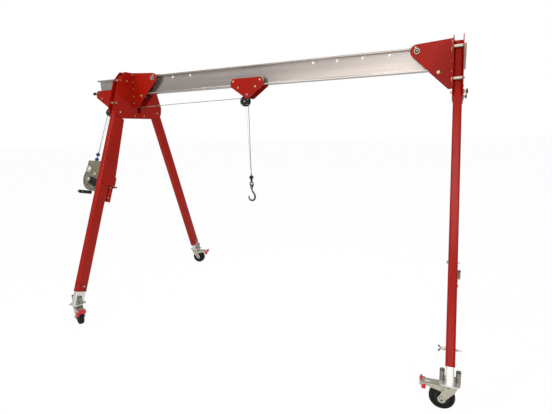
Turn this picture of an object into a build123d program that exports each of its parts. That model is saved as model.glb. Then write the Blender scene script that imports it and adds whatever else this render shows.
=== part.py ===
"""A portable gantry crane: two A-frames on casters, an I-beam between them, a trolley, a hand winch and a hook.

Lengths are in mm. X runs along the beam, Y across it with the front at -Y, and Z is up from the floor.
Each end frame is drawn for the left side in its own frame, whose origin is where its mid plane meets the
beam's underside, and is then leaned outwards and set at its end of the span.
"""
import math
import os
from build123d import *

os.makedirs("parts", exist_ok=True)

# Overall
span = 2900.0                # between the two end frames, at the beam's underside
frame_mid = 204.0            # how far the middle of the span lies from the middle of the whole
frame_across = -24.0         # and the middle of the beam, because the casters stand turned
seat = 0.3                   # gap between two pieces that rest on each other
overrun = 20.0               # how far a cutting tool runs past what it cuts

# Beam
beam_bottom = 1995.0
beam_depth = 165.0
beam_width = 90.0
flange_thick = 11.0
web_thick = 8.0
root_radius = 7.0
beam_past_left = 446.0       # beyond the left frame's mid plane
beam_past_right = 45.0
hole_radius = 11.0
hole_height = 138.0          # above the beam's underside
hole_pitch = 196.0
pin_reach = 272.0            # from a frame's mid plane to its pin through the web
left_holes = 2
right_holes = 4

# End frame
foot_half = 885.0            # half the spread of a frame's feet
foot_height = 177.0          # top of the casters
top_half = 190.0             # half the spread of the leg axes at the beam's underside
splay_out = 52.0             # how far a foot stands outside the frame's mid plane
lean = math.degrees(math.atan2(foot_half - top_half, beam_bottom - foot_height))
splay = math.degrees(math.atan2(splay_out, beam_bottom - foot_height))
leg_wide = 53.0              # along the beam
leg_deep = 104.0             # in the plane of the frame
leg_wall = 4.0
leg_radius = 13.0
leg_top = 150.0              # along the leg, above the beam's underside
leg_end_front_left = 272.0   # height of the red tube's lower end
leg_end_rear_left = 249.0
leg_end_right = 257.0
tube_gap = 0.5               # between a leg and the tube that slides in it
inner_overlap = 420.0        # how far the inner tube runs up inside the leg
inner_wall = 4.0

# Head plates
plate = 6.0
head_top = 201.0             # above the beam's underside
head_top_reach = 180.0
head_shoulder = (245.0, 112.0)
head_side = (300.0, -34.0)
head_elbow = (331.0, -115.0)
head_toe = (324.0, -160.0)
head_low = 226.0             # depth of its lower edge under the beam's underside
head_top_drop = 22.0         # its top corners lie this much below the top edge
window_gap = 8.0
slot_half = 22.0             # rope slot
slot_top = -80.0
slot_foot = -178.0
spacer_radius = 10.0
spacer_bolt = 5.0
spacer_gap = 2.0             # between a spacer and the leg's outer face
spacer_heights = (119.0, -87.0)
bolt_head = 8.5
bolt_head_thick = 7.0
head_pin_drop = 169.0        # leg pins, under the beam's underside
head_pin_radius = 9.0
pin_collar = 16.0
pin_collar_thick = 8.0
knob_out = 28.0              # a head pin's knob, from the plate
knob_top = 17.0
knob_cap = 10.0
wing_out = 29.0              # a height pin's shaft, from the tube
wing_long = 24.0
wing_radius = 4.5
wing_sleeve = 9.5
wing_turn = 45.0
pin_tail = 12.0
tail_long = 23.0
tail_radius = 4.0

# Height pins in the legs
height_pin_radius = 7.0
height_pin_left = 317.0
height_pin_rear_left = 292.0
height_pin_right = 339.0

# Gussets
gusset_in = 50.0             # inner face from the middle of the beam
lobe_radius = 46.0
gusset_tip = 66.0            # the tip's reach from the frame's mid plane
gusset_low = 122.0           # the tip's depth under the beam's underside
lobe_pin_radius = 9.5
lobe_ring = 21.0
lobe_ring_thick = 5.0
rest_reach = 125.0
rest_radius = 15.0
rest_bolt = 8.0
rest_head = 12.0
flange_edge = 6.0            # how far the gusset's flange stops short of the head plate's edge
flange_side = (244.0, 2.0)
flange_knee = (165.0, -38.0)

# Carriage plates, of the trolley and of the end bracket
carriage_in = 50.0
carriage_half = 155.0
carriage_top = 64.0          # above the beam's underside
carriage_top_half = 138.0
carriage_shoulder = 32.0
carriage_corner = -3.0
carriage_tip_half = 28.0
carriage_tip = -93.0
carriage_nose_half = 12.0
carriage_nose = -105.0
axle_reach = 126.0
wheel_radius = 29.0
wheel_wide = 16.0
wheel_in = 31.0              # inner face of a trolley wheel from the middle
axle_radius = 6.0
tie_reach = 82.0
tie_drop = 12.0
tie_radius = 6.0
tip_drop = 75.0              # the tip bolt, under the beam's underside
tip_radius = 8.0
tip_head = 12.5
link_radius = 23.5           # middle line of the link that carries the end block
link_wire = 4.0
link_pin = 4.0
link_slack = 1.2             # lets the tilted pin clear the link
link_head = 10.0
trolley_x = -180.0
end_reach = 305.0            # beyond the left frame's mid plane
clamp_radius = 8.0
clamp_pad = 15.5
knob_radius = 15.0
knob_long = 34.0
knob_stem = 7.0
knob_gap = 34.0              # from the clamp to the knob
knob_height = 40.0           # above the beam's underside

# Sheaves and rope
rope_radius = 3.0
groove_radius = 25.0         # bottom of a sheave's groove
sheave_radius = 36.0
sheave_wide = 16.0
groove_half = 3.6
sheave_axle = 8.0
cheek_radius = 44.0
cheek_thick = 5.0
cheek_in = 11.0
cheek_head = 17.0
block_drop = 49.0            # from the trolley's tip bolt down to its sheave's axle
end_block_drop = 53.0        # from the link's pin down to the end sheave's axle
trolley_block_x = -46.0
end_block_x = -27.0
hook_rope_z = 1210.0         # lower end of the falling rope

# Hook
stop_radius = 19.0
swivel_radius = 11.0
swivel_long = 26.0
eye_radius = 17.0
eye_wire = 6.0
hook_wire = 9.0
hook_line = ((0.0, -104.0), (0.0, -117.0), (14.0, -136.0), (27.0, -158.0), (28.0, -184.0), (14.0, -204.0),
             (-7.0, -208.0), (-26.0, -195.0), (-33.0, -172.0))
rope_socket = 12.0

# Winch, in the front left leg's own frame: across, back from the leg, up along it
winch_across = -300.0
winch_height = 1232.0        # of the crank's shaft
disc_over = 12.0             # the housing's middle from the shaft
disc_up = 20.0
winch_radius = 123.0
winch_front = 130.0
winch_thick = 96.0
winch_rim = 112.0
rim_thick = 8.0
guide_top = 196.0
guide_left = 97.0
guide_right = 50.0
guide_root_share = 0.9       # of the housing's radius, where the guide's sides leave it
guide_rise_share = 0.4
drum_radius = 45.0
rope_depth = 180.0
bump_radius = 34.0
bump_thick = 10.0
bump_across = -52.0
bump_up = 106.0
crank_front = 100.0
crank_thick = 13.0
crank_long = 200.0
crank_hub = 30.0
crank_belly = 37.0           # half its width where it is widest
crank_belly_at = 105.0
crank_end = 15.0
crank_angle = -18.0
shaft_radius = 10.0
cap_radius = 22.0
cap_thick = 12.0
grip_radius = 14.0
grip_long = 92.0
post_front_gap = 0.3
post_head_gap = 4.0          # between the head's inner plate and the bracket's side plate
post_top_deep = 16.0
post_low_deep = 60.0
post_drop = 55.0             # its lower end, below the shaft
post_corner = 26.0
post_edge = 13.0             # the side plate stops this short of the leg's front edge
post_foot_radius = 23.5
post_foot_back = 48.0        # the foot tube's axis behind the leg
post_foot_long = 150.0
arm_half = 45.0
arm_front = 140.0
arm_back = 178.0
cheek_side = 47.0            # outer face of the plate that joins the arm to the post
rope_mouth = 45.0
mouth_radius = 8.0
ball_radius = 19.0
ball_first = 177.0           # from the rope's lower end, along the rope
ball_pitch = 50.0
latch_radius = 6.5
latch_long = 58.0
latch_rise = 133.0           # above the foot tube's lower end
latch_tilt = 8.0
lever_radius = 17.0
lever_left = 137.0           # reach of the lever under the housing, either side of the shaft
lever_right = 12.0
lever_boss = 15.0
lever_boss_out = 12.0
lever_back = 17.0            # its axis behind the housing's front

# Casters
wheel_r = 72.0
tread_wide = 44.0
tread_round = 12.0
hub_radius = 22.0
hub_wide = 56.0
dish_radius = 50.0
dish_deep = 7.0
axle_bore = 8.5
caster_axle = 8.0
trail = 38.0
fork_in = 31.0
fork_thick = 4.0
fork_top = 162.0
fork_crown = 5.0
crown_far = 20.0
fork_head = 34.0
fork_head_top = 169.0
king_radius = 9.0
fork_reach = 43.0
fork_low = 23.0
fork_knee = 11.0
fork_skirt = 32.0
axle_nut = 12.5
foot_plate_long = 56.0       # half its length along the beam
foot_plate_wide = 54.0       # half its width
foot_plate_round = 22.0
foot_plate = 7.0
king_hole_gap = 0.4
boss_radius = 13.0
boss_height = 69.0
boss_at = 43.0
boss_bore = 6.5
boss_bore_deep = 20.0
pedal_half = 27.0
pedal_thick = 3.0
pedal_pivot = (4.0, 148.0)   # from the king pin along the trail, and height
pedal_pin = 4.0
pedal_root = -16.0
pedal_far = 150.0
pedal_root_z = 155.0         # its upper face, at the root and at the tip
pedal_tip_z = 149.0
flange_low = 118.0           # lower corner of the pedal's side flanges
flange_low_at = 44.0
slot_long = 34.0
slot_wide = 9.0
pad_long = 11.0
pad_tall = 32.0
low_pad_long = 32.0
low_pad_tall = 30.0
low_pad_wide = 15.0

half_span = span / 2
cos_lean = math.cos(math.radians(lean))
tan_lean = math.tan(math.radians(lean))
frame_at = Pos(-half_span, 0, beam_bottom) * Rot(0, splay, 0)
whole = Pos(frame_mid, frame_across, 0)


def save(name, *solids):
    """Write the solids of one node."""
    shape = solids[0] if len(solids) == 1 else Compound(children=list(solids))
    export_step(shape, f"parts/{name}.step")


def in_frame(shape, side):
    """Set a piece drawn for the left frame in the left (-1) or right (1) frame."""
    placed = frame_at * shape
    if side > 0:
        placed = mirror(placed, about=Plane.YZ)
    return whole * placed


def leg_at(row):
    """The frame of the front (-1) or rear (1) leg: x across, y away from the beam's side, z up along it."""
    return Pos(0, row * top_half, 0) * Rot(row * lean, 0, 0)


def along(height):
    """The place along a leg that lies at a height above the floor."""
    return (height - beam_bottom) / cos_lean


def in_plane(x, z):
    """A point beside the beam, x inwards from the frame's foot point and z up, in the leaning frame."""
    turn = math.radians(splay)
    return x * math.cos(turn) - z * math.sin(turn), x * math.sin(turn) + z * math.cos(turn)


def rod_x(radius, x0, x1, y=0.0, z=0.0):
    return Pos((x0 + x1) / 2, y, z) * Rot(0, 90, 0) * Cylinder(radius, abs(x1 - x0))


def rod_y(radius, y0, y1, x=0.0, z=0.0):
    return Pos(x, (y0 + y1) / 2, z) * Rot(90, 0, 0) * Cylinder(radius, abs(y1 - y0))


def rod_z(radius, z0, z1, x=0.0, y=0.0):
    return Pos(x, y, (z0 + z1) / 2) * Cylinder(radius, abs(z1 - z0))


def block(x0, x1, y0, y1, z0, z1):
    return Pos((x0 + x1) / 2, (y0 + y1) / 2, (z0 + z1) / 2) * Box(abs(x1 - x0), abs(y1 - y0), abs(z1 - z0))


def sheet_xz(points, y0, y1):
    """A plate drawn by its outline in XZ, from y0 to y1."""
    face = make_face(Polyline(*[(x, 0, z) for x, z in points], close=True))
    return Pos(0, min(y0, y1), 0) * extrude(face, abs(y1 - y0), dir=(0, 1, 0))


def sheet_yz(points, x0, x1):
    """A plate drawn by its outline in YZ, from x0 to x1."""
    face = make_face(Polyline(*[(0, y, z) for y, z in points], close=True))
    return Pos(min(x0, x1), 0, 0) * extrude(face, abs(x1 - x0), dir=(1, 0, 0))


def round_tube(wide, deep, radius, wall, z0, z1):
    """A tube with rounded corners along Z."""
    outer = RectangleRounded(wide, deep, radius)
    inner = RectangleRounded(wide - 2 * wall, deep - 2 * wall, radius - wall)
    return Pos(0, 0, z0) * extrude(outer - inner, z1 - z0)


# The beam
hole_z = beam_bottom + hole_height
pin_x = half_span - pin_reach
beam_x0 = -half_span - beam_past_left
beam_x1 = half_span + beam_past_right
side_cut = (beam_width - web_thick) / 2
pocket_mid = web_thick / 2 + (side_cut + overrun) / 2
pocket = RectangleRounded(side_cut + overrun, beam_depth - 2 * flange_thick, root_radius)
profile = Rectangle(beam_width, beam_depth) - Pos(pocket_mid, 0) * pocket - Pos(-pocket_mid, 0) * pocket
beam = extrude(Plane.YZ * (Pos(0, beam_depth / 2) * profile), beam_x1 - beam_x0)
beam = Pos(beam_x0, 0, beam_bottom) * beam
hole_places = [-pin_x + hole_pitch * i for i in range(left_holes + 1)]
hole_places += [pin_x - hole_pitch * i for i in range(right_holes + 1)]
for x in hole_places:
    beam -= rod_y(hole_radius, -web_thick, web_thick, x, hole_z)
save("beam", whole * beam)

# Head plates, legs and what joins them, drawn for the left frame
half_plate = leg_wide / 2 + seat
spacer_off = (leg_deep / 2 + spacer_gap + spacer_radius) / cos_lean


def leg_y(z):
    """How far a leg's axis is from the middle, at a height from the beam's underside."""
    return top_half - z * tan_lean


def leg_side(z):
    """How far the leg's face towards the middle is from it, at that height."""
    return leg_y(z) - leg_deep / 2 / cos_lean


def head_outline():
    """Half of a head plate's outline, from the middle of its top to the middle of its foot."""
    low_in = leg_side(-head_low)
    toe_y = low_in + leg_deep * cos_lean
    toe_z = -head_low + leg_deep * math.sin(math.radians(lean))
    return [(head_top_reach, head_top - head_top_drop), head_shoulder, head_side, head_elbow, head_toe,
            (toe_y, toe_z), (low_in, -head_low)]


def head_plate(x0, x1):
    right = head_outline()
    left = [(-y, z) for y, z in reversed(right)]
    top = [(-head_top_reach + head_top_drop, head_top), (head_top_reach - head_top_drop, head_top)]
    shape = sheet_yz(top + right + left, x0, x1)
    half = beam_width / 2 + window_gap
    shape -= block(x0 - overrun, x1 + overrun, -half, half, -window_gap, beam_depth + window_gap)
    shape -= block(x0 - overrun, x1 + overrun, -slot_half, slot_half, slot_foot + slot_half, slot_top - slot_half)
    for z in (slot_foot + slot_half, slot_top - slot_half):
        shape -= rod_x(slot_half, x0 - overrun, x1 + overrun, 0, z)
    for row in (-1, 1):
        for z in spacer_heights:
            shape -= rod_x(spacer_bolt + seat, x0 - overrun, x1 + overrun, row * (leg_y(z) + spacer_off), z)
        shape -= rod_x(head_pin_radius + seat, x0 - overrun, x1 + overrun, row * leg_y(-head_pin_drop),
                       -head_pin_drop)
    return shape


def knob_pin(radius, inside, outside):
    """A head pin along X: its collar and knob on the -X side at outside, its tail past inside."""
    shape = rod_x(radius, outside - knob_out + knob_cap, inside + pin_tail)
    shape += rod_x(pin_collar, outside - pin_collar_thick, outside - seat)
    cap = rod_x(knob_top, outside - knob_out, outside - knob_out + knob_cap)
    return shape + fillet(cap.edges().sort_by(Axis.X)[0], knob_cap / 2)


def wing_pin(radius, inside, outside):
    """A height pin along X: its shaft and two wings on the +X side at outside, a thin tail on the other."""
    end = outside + wing_out
    shape = rod_x(radius, inside - pin_tail, end)
    shape += rod_x(wing_sleeve, outside + seat, end - wing_sleeve)
    for s in (-1, 1):
        shape += Pos(end - radius / 2, 0, 0) * Rot(0, 90 + s * wing_turn, 0) * rod_z(wing_radius, 0, wing_long)
    tail = Cone(tail_radius, tail_radius / 4, tail_long)
    return shape + Pos(inside - pin_tail - tail_long / 2, 0, 0) * Rot(0, -90, 0) * tail


def spacer(z, row):
    y = row * (leg_y(z) + spacer_off)
    end = half_plate + plate
    shape = rod_x(spacer_radius, -half_plate + seat, half_plate - seat, y, z)
    shape += rod_x(spacer_bolt, -end - bolt_head_thick, end + bolt_head_thick, y, z)
    for x0, x1 in ((-end - bolt_head_thick, -end - seat), (end + seat, end + bolt_head_thick)):
        shape += rod_x(bolt_head, x0, x1, y, z)
    return shape


for side, tag in ((-1, "left"), (1, "right")):
    save(f"head_outer_{tag}", in_frame(head_plate(-half_plate - plate, -half_plate), side))
    save(f"head_inner_{tag}", in_frame(head_plate(half_plate, half_plate + plate), side))
    save(f"head_spacers_{tag}", *[in_frame(spacer(z, row), side) for row in (-1, 1) for z in spacer_heights])

# Gussets with their flanges, pins through the web and rests under the beam
gusset_x0 = half_plate + plate + seat
reach, lobe_z = in_plane(pin_reach, hole_height)
rest_x, rest_z = in_plane(rest_reach, -rest_radius - seat)


def gusset(row):
    """One gusset: a plate along the beam, and a flange against the head's inner plate."""
    y0, y1 = row * gusset_in, row * (gusset_in + plate)
    # the lobe's lower tangent runs to the tip
    dx, dz = gusset_tip - reach, -gusset_low - lobe_z
    far = math.hypot(dx, dz)
    turn = math.atan2(dz, dx) + math.acos(lobe_radius / far)
    low = (reach + lobe_radius * math.cos(turn), lobe_z + lobe_radius * math.sin(turn))
    points = [(gusset_x0, head_top), (reach, lobe_z + lobe_radius), (reach, lobe_z), low,
              (gusset_tip, -gusset_low), (gusset_x0, -gusset_low)]
    shape = sheet_xz(points, y0, y1)
    shape += rod_y(lobe_radius, y0, y1, reach, lobe_z)
    outer_y = row * gusset_in
    flange = [(outer_y, head_top), (row * (head_top_reach - flange_edge), head_top - head_top_drop),
              (row * (head_shoulder[0] - flange_edge), head_shoulder[1]), (row * flange_side[0], flange_side[1]),
              (row * flange_knee[0], flange_knee[1]), (outer_y, -gusset_low)]
    shape += sheet_yz(flange, gusset_x0, gusset_x0 + plate)
    shape -= rod_y(lobe_pin_radius + seat, -y1 * 2, y1 * 2, reach, lobe_z)
    shape -= rod_y(rest_bolt + seat, -y1 * 2, y1 * 2, rest_x, rest_z)
    for z in spacer_heights:
        shape -= rod_x(bolt_head + seat, gusset_x0 - overrun, gusset_x0 + overrun, row * (leg_y(z) + spacer_off), z)
    return shape


def beam_pin():
    end = gusset_in + plate
    shape = rod_y(lobe_pin_radius, -end - lobe_ring_thick, end + lobe_ring_thick, reach, lobe_z)
    for row in (-1, 1):
        shape += rod_y(lobe_ring, row * (end + seat), row * (end + lobe_ring_thick), reach, lobe_z)
        shape += rod_y(bolt_head, row * end, row * (end + lobe_ring_thick + bolt_head_thick), reach, lobe_z)
    return shape


def beam_rest():
    end = gusset_in + plate
    shape = rod_y(rest_radius, -gusset_in + seat, gusset_in - seat, rest_x, rest_z)
    shape += rod_y(rest_bolt, -end - bolt_head_thick, end + bolt_head_thick, rest_x, rest_z)
    for row in (-1, 1):
        shape += rod_y(rest_head, row * (end + seat), row * (end + bolt_head_thick), rest_x, rest_z)
    return shape


for side, tag in ((-1, "left"), (1, "right")):
    save(f"gussets_{tag}", *[in_frame(gusset(row), side) for row in (-1, 1)])
    save(f"beam_pin_{tag}", in_frame(beam_pin(), side))
    save(f"beam_rest_{tag}", in_frame(beam_rest(), side))

# Legs
feet = {"front_left": (-1, -1, leg_end_front_left, height_pin_left),
        "rear_left": (-1, 1, leg_end_rear_left, height_pin_rear_left),
        "front_right": (1, -1, leg_end_right, height_pin_right),
        "rear_right": (1, 1, leg_end_right, height_pin_right)}
head_pin_at = along(beam_bottom - head_pin_drop)
inner_wide = leg_wide - 2 * leg_wall - 2 * tube_gap
inner_deep = leg_deep - 2 * leg_wall - 2 * tube_gap
pins = {-1: [], 1: []}
foot_x = half_span + splay_out
for tag, (side, row, end, pin) in feet.items():
    pin_at = along(pin)
    leg = round_tube(leg_wide, leg_deep, leg_radius, leg_wall, along(end), leg_top)
    leg -= rod_x(head_pin_radius + seat, -leg_wide, leg_wide, 0, head_pin_at)
    leg -= rod_x(height_pin_radius + seat, -leg_wide, leg_wide, 0, pin_at)
    save(f"leg_{tag}", in_frame(leg_at(row) * leg, side))

    inner = round_tube(inner_wide, inner_deep, leg_radius - leg_wall - tube_gap, inner_wall,
                       along(0), along(end) + inner_overlap)
    inner -= rod_x(height_pin_radius + seat, -leg_wide, leg_wide, 0, pin_at)
    inner = in_frame(leg_at(row) * inner, side)
    x, y = side * foot_x + frame_mid, row * foot_half + frame_across
    inner -= block(x - span, x + span, y - span, y + span, -span, foot_height - foot_plate / 2)
    base = RectangleRounded(2 * foot_plate_long, 2 * foot_plate_wide, foot_plate_round)
    inner += Pos(x, y, foot_height - foot_plate) * extrude(base, foot_plate)
    for s in (-1, 1):
        boss = rod_z(boss_radius, foot_height - foot_plate / 2, foot_height + boss_height, x + s * boss_at, y)
        inner += boss - rod_z(boss_bore, foot_height + boss_height - boss_bore_deep,
                              foot_height + boss_height + overrun, x + s * boss_at, y)
    inner -= rod_z(king_radius + king_hole_gap, 0, foot_height - foot_plate / 3, x, y)
    save(f"inner_leg_{tag}", inner)

    face = leg_wide / 2
    plates = half_plate + plate
    pins[side].append(in_frame(leg_at(row) * Pos(0, 0, head_pin_at)
                               * knob_pin(head_pin_radius, plates, -plates), side))
    pins[side].append(in_frame(leg_at(row) * Pos(0, 0, pin_at) * wing_pin(height_pin_radius, -face, face), side))
save("leg_pins_left", *pins[-1])
save("leg_pins_right", *pins[1])


# Trolley and end bracket
def carriage_plate(row):
    y0, y1 = row * carriage_in, row * (carriage_in + plate)
    right = [(carriage_top_half, carriage_top), (carriage_half, carriage_shoulder), (carriage_half, carriage_corner),
             (carriage_tip_half, carriage_tip), (carriage_nose_half, carriage_nose)]
    shape = sheet_xz(right + [(-x, z) for x, z in reversed(right)], y0, y1)
    for s in (-1, 1):
        shape -= rod_y(axle_radius + seat, -2 * y1, 2 * y1, s * axle_reach, flange_thick + wheel_radius + seat)
        shape -= rod_y(tie_radius + seat, -2 * y1, 2 * y1, s * tie_reach, -tie_drop)
    shape -= rod_y(tip_radius + seat, -2 * y1, 2 * y1, 0, -tip_drop)
    return shape


def through_bolt(radius, x, z, head):
    """A bolt across both carriage plates, with a head and a nut outside them."""
    end = carriage_in + plate
    shape = rod_y(radius, -end - bolt_head_thick, end + bolt_head_thick, x, z)
    for row in (-1, 1):
        shape += rod_y(head, row * (end + seat), row * (end + bolt_head_thick), x, z)
    return shape


def axle(row, x):
    """A stub axle through one carriage plate and its wheel."""
    z = flange_thick + wheel_radius + seat
    end = carriage_in + plate
    shape = rod_y(axle_radius, row * (wheel_in - seat), row * (end + bolt_head_thick), x, z)
    shape += rod_y(bolt_head + seat, row * (end + seat), row * (end + bolt_head_thick), x, z)
    return shape


def carriage_bolts():
    parts = [through_bolt(tie_radius, s * tie_reach, -tie_drop, bolt_head) for s in (-1, 1)]
    parts.append(through_bolt(tip_radius, 0, -tip_drop, tip_head))
    return parts


def carriage_wheel(row, x):
    z = flange_thick + wheel_radius + seat
    shape = rod_y(wheel_radius, row * wheel_in, row * (wheel_in + wheel_wide), x, z)
    return shape - rod_y(axle_radius + seat, 0, row * 2 * carriage_in, x, z)


def cheeks(cx, drop, head, hole, pin):
    """A pulley block's two cheeks, with the sheave's axle at (cx, -drop) and a hole or a pin at their head."""
    long = math.hypot(cx, drop)
    turn = math.degrees(math.atan2(-drop, cx))
    shape = None
    for s in (-1, 1):
        y0, y1 = s * cheek_in, s * (cheek_in + cheek_thick)
        one = rod_y(cheek_radius, y0, y1, cx, -drop) + rod_y(head, y0, y1)
        one += Rot(0, -turn, 0) * block(0, long, y0, y1, -head, head)
        if hole:
            one -= rod_y(hole, -2 * cheek_radius, 2 * cheek_radius)
        shape = one if shape is None else shape + one
    shape += rod_y(sheave_axle, -cheek_in - cheek_thick / 2, cheek_in + cheek_thick / 2, cx, -drop)
    if pin:
        shape += rod_y(pin, -cheek_in - cheek_thick / 2, cheek_in + cheek_thick / 2)
    return shape


def sheave(cx, drop):
    profile = [(sheave_axle + seat, -sheave_wide / 2), (sheave_radius, -sheave_wide / 2),
               (groove_radius - seat, -groove_half / 2), (groove_radius - seat, groove_half / 2),
               (sheave_radius, sheave_wide / 2), (sheave_axle + seat, sheave_wide / 2)]
    face = make_face(Polyline(*[(x, 0, z) for x, z in profile], close=True))
    return Pos(cx, 0, -drop) * Rot(90, 0, 0) * revolve(face, Axis.Z)


trolley_at = whole * Pos(trolley_x, 0, beam_bottom)
save("trolley_plates", *[trolley_at * carriage_plate(row) for row in (-1, 1)])
save("trolley_wheels", *[trolley_at * carriage_wheel(row, s * axle_reach) for row in (-1, 1) for s in (-1, 1)])
save("trolley_bolts", *[trolley_at * shape for shape in
                        carriage_bolts() + [axle(row, s * axle_reach) for row in (-1, 1) for s in (-1, 1)]])
tip = Pos(0, 0, -tip_drop)
save("trolley_block", trolley_at * tip * cheeks(trolley_block_x, block_drop, cheek_head, tip_radius + seat, 0))
save("trolley_sheave", trolley_at * tip * sheave(trolley_block_x, block_drop))

end_x = -half_span - end_reach
end_at = whole * Pos(end_x, 0, beam_bottom)
save("end_plates", *[end_at * carriage_plate(row) for row in (-1, 1)])
clamps = []
for row in (-1, 1):
    for s in (-1, 1):
        pad_z = flange_thick + seat
        pad = rod_y(clamp_radius + clamp_pad / 2, row * wheel_in, row * (carriage_in - seat), s * axle_reach,
                    flange_thick + wheel_radius + seat)
        pad += block(s * axle_reach - clamp_pad, s * axle_reach + clamp_pad, row * wheel_in,
                     row * (beam_width / 2), pad_z, flange_thick + wheel_radius)
        clamps.append(end_at * (pad + axle(row, s * axle_reach)))
save("end_clamps", *clamps)
save("end_bolts", *[end_at * shape for shape in carriage_bolts()])
pad_x = -axle_reach - clamp_pad - seat
knob_y = -(wheel_in + beam_width / 2) / 2
knob = rod_x(knob_stem, pad_x - knob_gap, pad_x, knob_y, knob_height)
knob += rod_x(knob_radius, pad_x - knob_gap - knob_long, pad_x - knob_gap, knob_y, knob_height)
save("end_knob", end_at * knob)

# The rope's line: from the winch up to the end sheave
winch_leg = leg_at(-1)
hub_up = along(winch_height)
winch_at = winch_leg * Pos(winch_across, 0, hub_up)
mouth = (frame_at * winch_at * Pos(-drum_radius, rope_depth, rope_mouth)).position
link_inner = link_radius - link_wire
link_z = tip_radius - link_inner + seat
peg_x = end_x
peg_z = beam_bottom - tip_drop + link_z - link_inner + link_pin + link_slack
far_x, far_w = mouth.X - peg_x, math.hypot(mouth.Y, mouth.Z - peg_z)
tilt = math.degrees(math.atan2(-mouth.Y, peg_z - mouth.Z))
line = groove_radius + rope_radius
dx, dw = far_x - end_block_x, -far_w + end_block_drop
leave = math.atan2(dw, dx) - math.acos(line / math.hypot(dx, dw))
tip_tilted = Pos(peg_x, 0, peg_z) * Rot(-tilt, 0, 0)
save("end_block", whole * tip_tilted * cheeks(end_block_x, end_block_drop, link_head, 0, link_pin))
save("end_sheave", whole * tip_tilted * sheave(end_block_x, end_block_drop))
save("end_link", end_at * Pos(0, 0, link_z - tip_drop) * Rot(90, 0, 0) * Torus(link_radius, link_wire))
top_point = (end_block_x, 0, line - end_block_drop)
mid_turn = (leave % (2 * math.pi) + math.pi / 2) / 2
mid_point = (end_block_x + line * math.cos(mid_turn), 0, line * math.sin(mid_turn) - end_block_drop)
off_point = (end_block_x + line * math.cos(leave), 0, line * math.sin(leave) - end_block_drop)
foot_point = (far_x, 0, -far_w)
path = ThreePointArc(top_point, mid_point, off_point) + Line(off_point, foot_point)
run = sweep(Plane(origin=top_point, z_dir=(1, 0, 0)) * Circle(rope_radius), path=path)
save("rope_winch_run", whole * tip_tilted * run)


def on_rope(distance):
    """The frame at a distance up the rope from its lower end, with z along the rope."""
    up = Vector(*off_point) - Vector(*foot_point)
    at = Vector(*foot_point) + up.normalized() * distance
    return tip_tilted * Plane(origin=at, z_dir=up).location


# The winch, in the front left leg's frame
hub_back = winch_front + winch_thick
housing = rod_y(winch_radius, winch_front, hub_back, disc_over, disc_up)
housing += rod_y(winch_rim, winch_front - rim_thick, hub_back + rim_thick, disc_over, disc_up)
root, rise = winch_radius * guide_root_share, winch_radius * guide_rise_share
housing += sheet_xz([(disc_over - root, disc_up + rise), (-guide_left, guide_top),
                     (guide_right, guide_top), (disc_over + root, disc_up + rise), (disc_over, 0)],
                    winch_front + rim_thick, hub_back - rim_thick)
housing += rod_y(bump_radius, winch_front - bump_thick, hub_back, bump_across, bump_up)
housing -= rod_y(shaft_radius + seat, winch_front - overrun, (winch_front + hub_back) / 2)
housing = frame_at * winch_at * housing
housing -= on_rope(0) * rod_z(mouth_radius, -seat, 2 * guide_top)
save("winch_housing", whole * housing)

crank = rod_y(crank_hub, crank_front, crank_front + crank_thick)
lower = [(0, -crank_hub), (crank_belly_at, -crank_belly), (crank_long, -crank_end)]
arm = sheet_xz(lower + [(x, -z) for x, z in reversed(lower)], crank_front, crank_front + crank_thick)
arm += rod_y(crank_end, crank_front, crank_front + crank_thick, crank_long)
arm += rod_y(grip_radius, crank_front - grip_long, crank_front, crank_long)
crank += Rot(0, -crank_angle, 0) * arm
crank += rod_y(cap_radius, crank_front - cap_thick, crank_front)
crank += rod_y(shaft_radius, crank_front, (winch_front + hub_back) / 2 - seat)
save("winch_crank", in_frame(winch_at * crank, -1))

# What carries the winch: a post behind the leg, and an arm to the housing
post_front = leg_deep / 2 + post_front_gap
head_edge = -head_low * cos_lean - (leg_side(-head_low) - top_half) * math.sin(math.radians(lean))
post_top = head_edge - post_head_gap
post_low = hub_up - post_drop
foot_low = post_low - post_foot_long
side_out = half_plate + plate
wide = [(post_front, post_top), (post_front + post_top_deep, post_top),
        (post_front + post_low_deep, post_low + post_corner),
        (post_front + post_low_deep - post_corner, post_low), (post_front, post_low)]
post = sheet_yz(wide, -leg_wide / 2, side_out)
front = -leg_deep / 2 + post_edge
post += sheet_yz([(front, post_top), (post_front, post_top), (post_front, post_low), (front + post_corner, post_low),
                  (front, post_low + post_corner)], half_plate, side_out)
foot_y = post_front + post_foot_back
post += rod_z(post_foot_radius, foot_low, post_low + post_corner / 2, 0, foot_y)
post += block(-cheek_side, -leg_wide / 2, post_front, arm_back, hub_up - arm_half, hub_up + arm_half)
post += block(winch_across + winch_radius / 2, -leg_wide / 2, arm_front, arm_back, hub_up - arm_half,
              hub_up + arm_half)
post -= rod_y(winch_radius + seat, arm_front - overrun, arm_back + overrun, winch_across + disc_over,
              hub_up + disc_up)
save("winch_bracket", in_frame(winch_leg * post, -1))
latch = winch_leg * Pos(0, foot_y, foot_low + latch_rise) * Rot(0, -latch_tilt, 0)
latch_sin = math.sin(math.radians(latch_tilt))
latch_start = (post_foot_radius + seat + latch_radius * latch_sin) / math.cos(math.radians(latch_tilt))
latch *= rod_x(latch_radius, latch_start, latch_start + latch_long)
lever_y, lever_z = winch_front + lever_back, disc_up - winch_radius - lever_radius - seat
lever = rod_x(lever_radius, -lever_left, lever_right, lever_y, lever_z)
for x in (lever_boss - lever_left, -lever_left / 2):
    lever += rod_y(lever_boss, lever_y - lever_radius - lever_boss_out, lever_y, x, lever_z)
save("winch_latch", in_frame(latch, -1), in_frame(winch_at * lever, -1))

balls = [on_rope(ball_first + i * ball_pitch) * (Sphere(ball_radius) - rod_z(rope_radius + seat, -overrun, overrun))
         for i in range(2)]
save("winch_balls", *[whole * ball for ball in balls])

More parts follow.
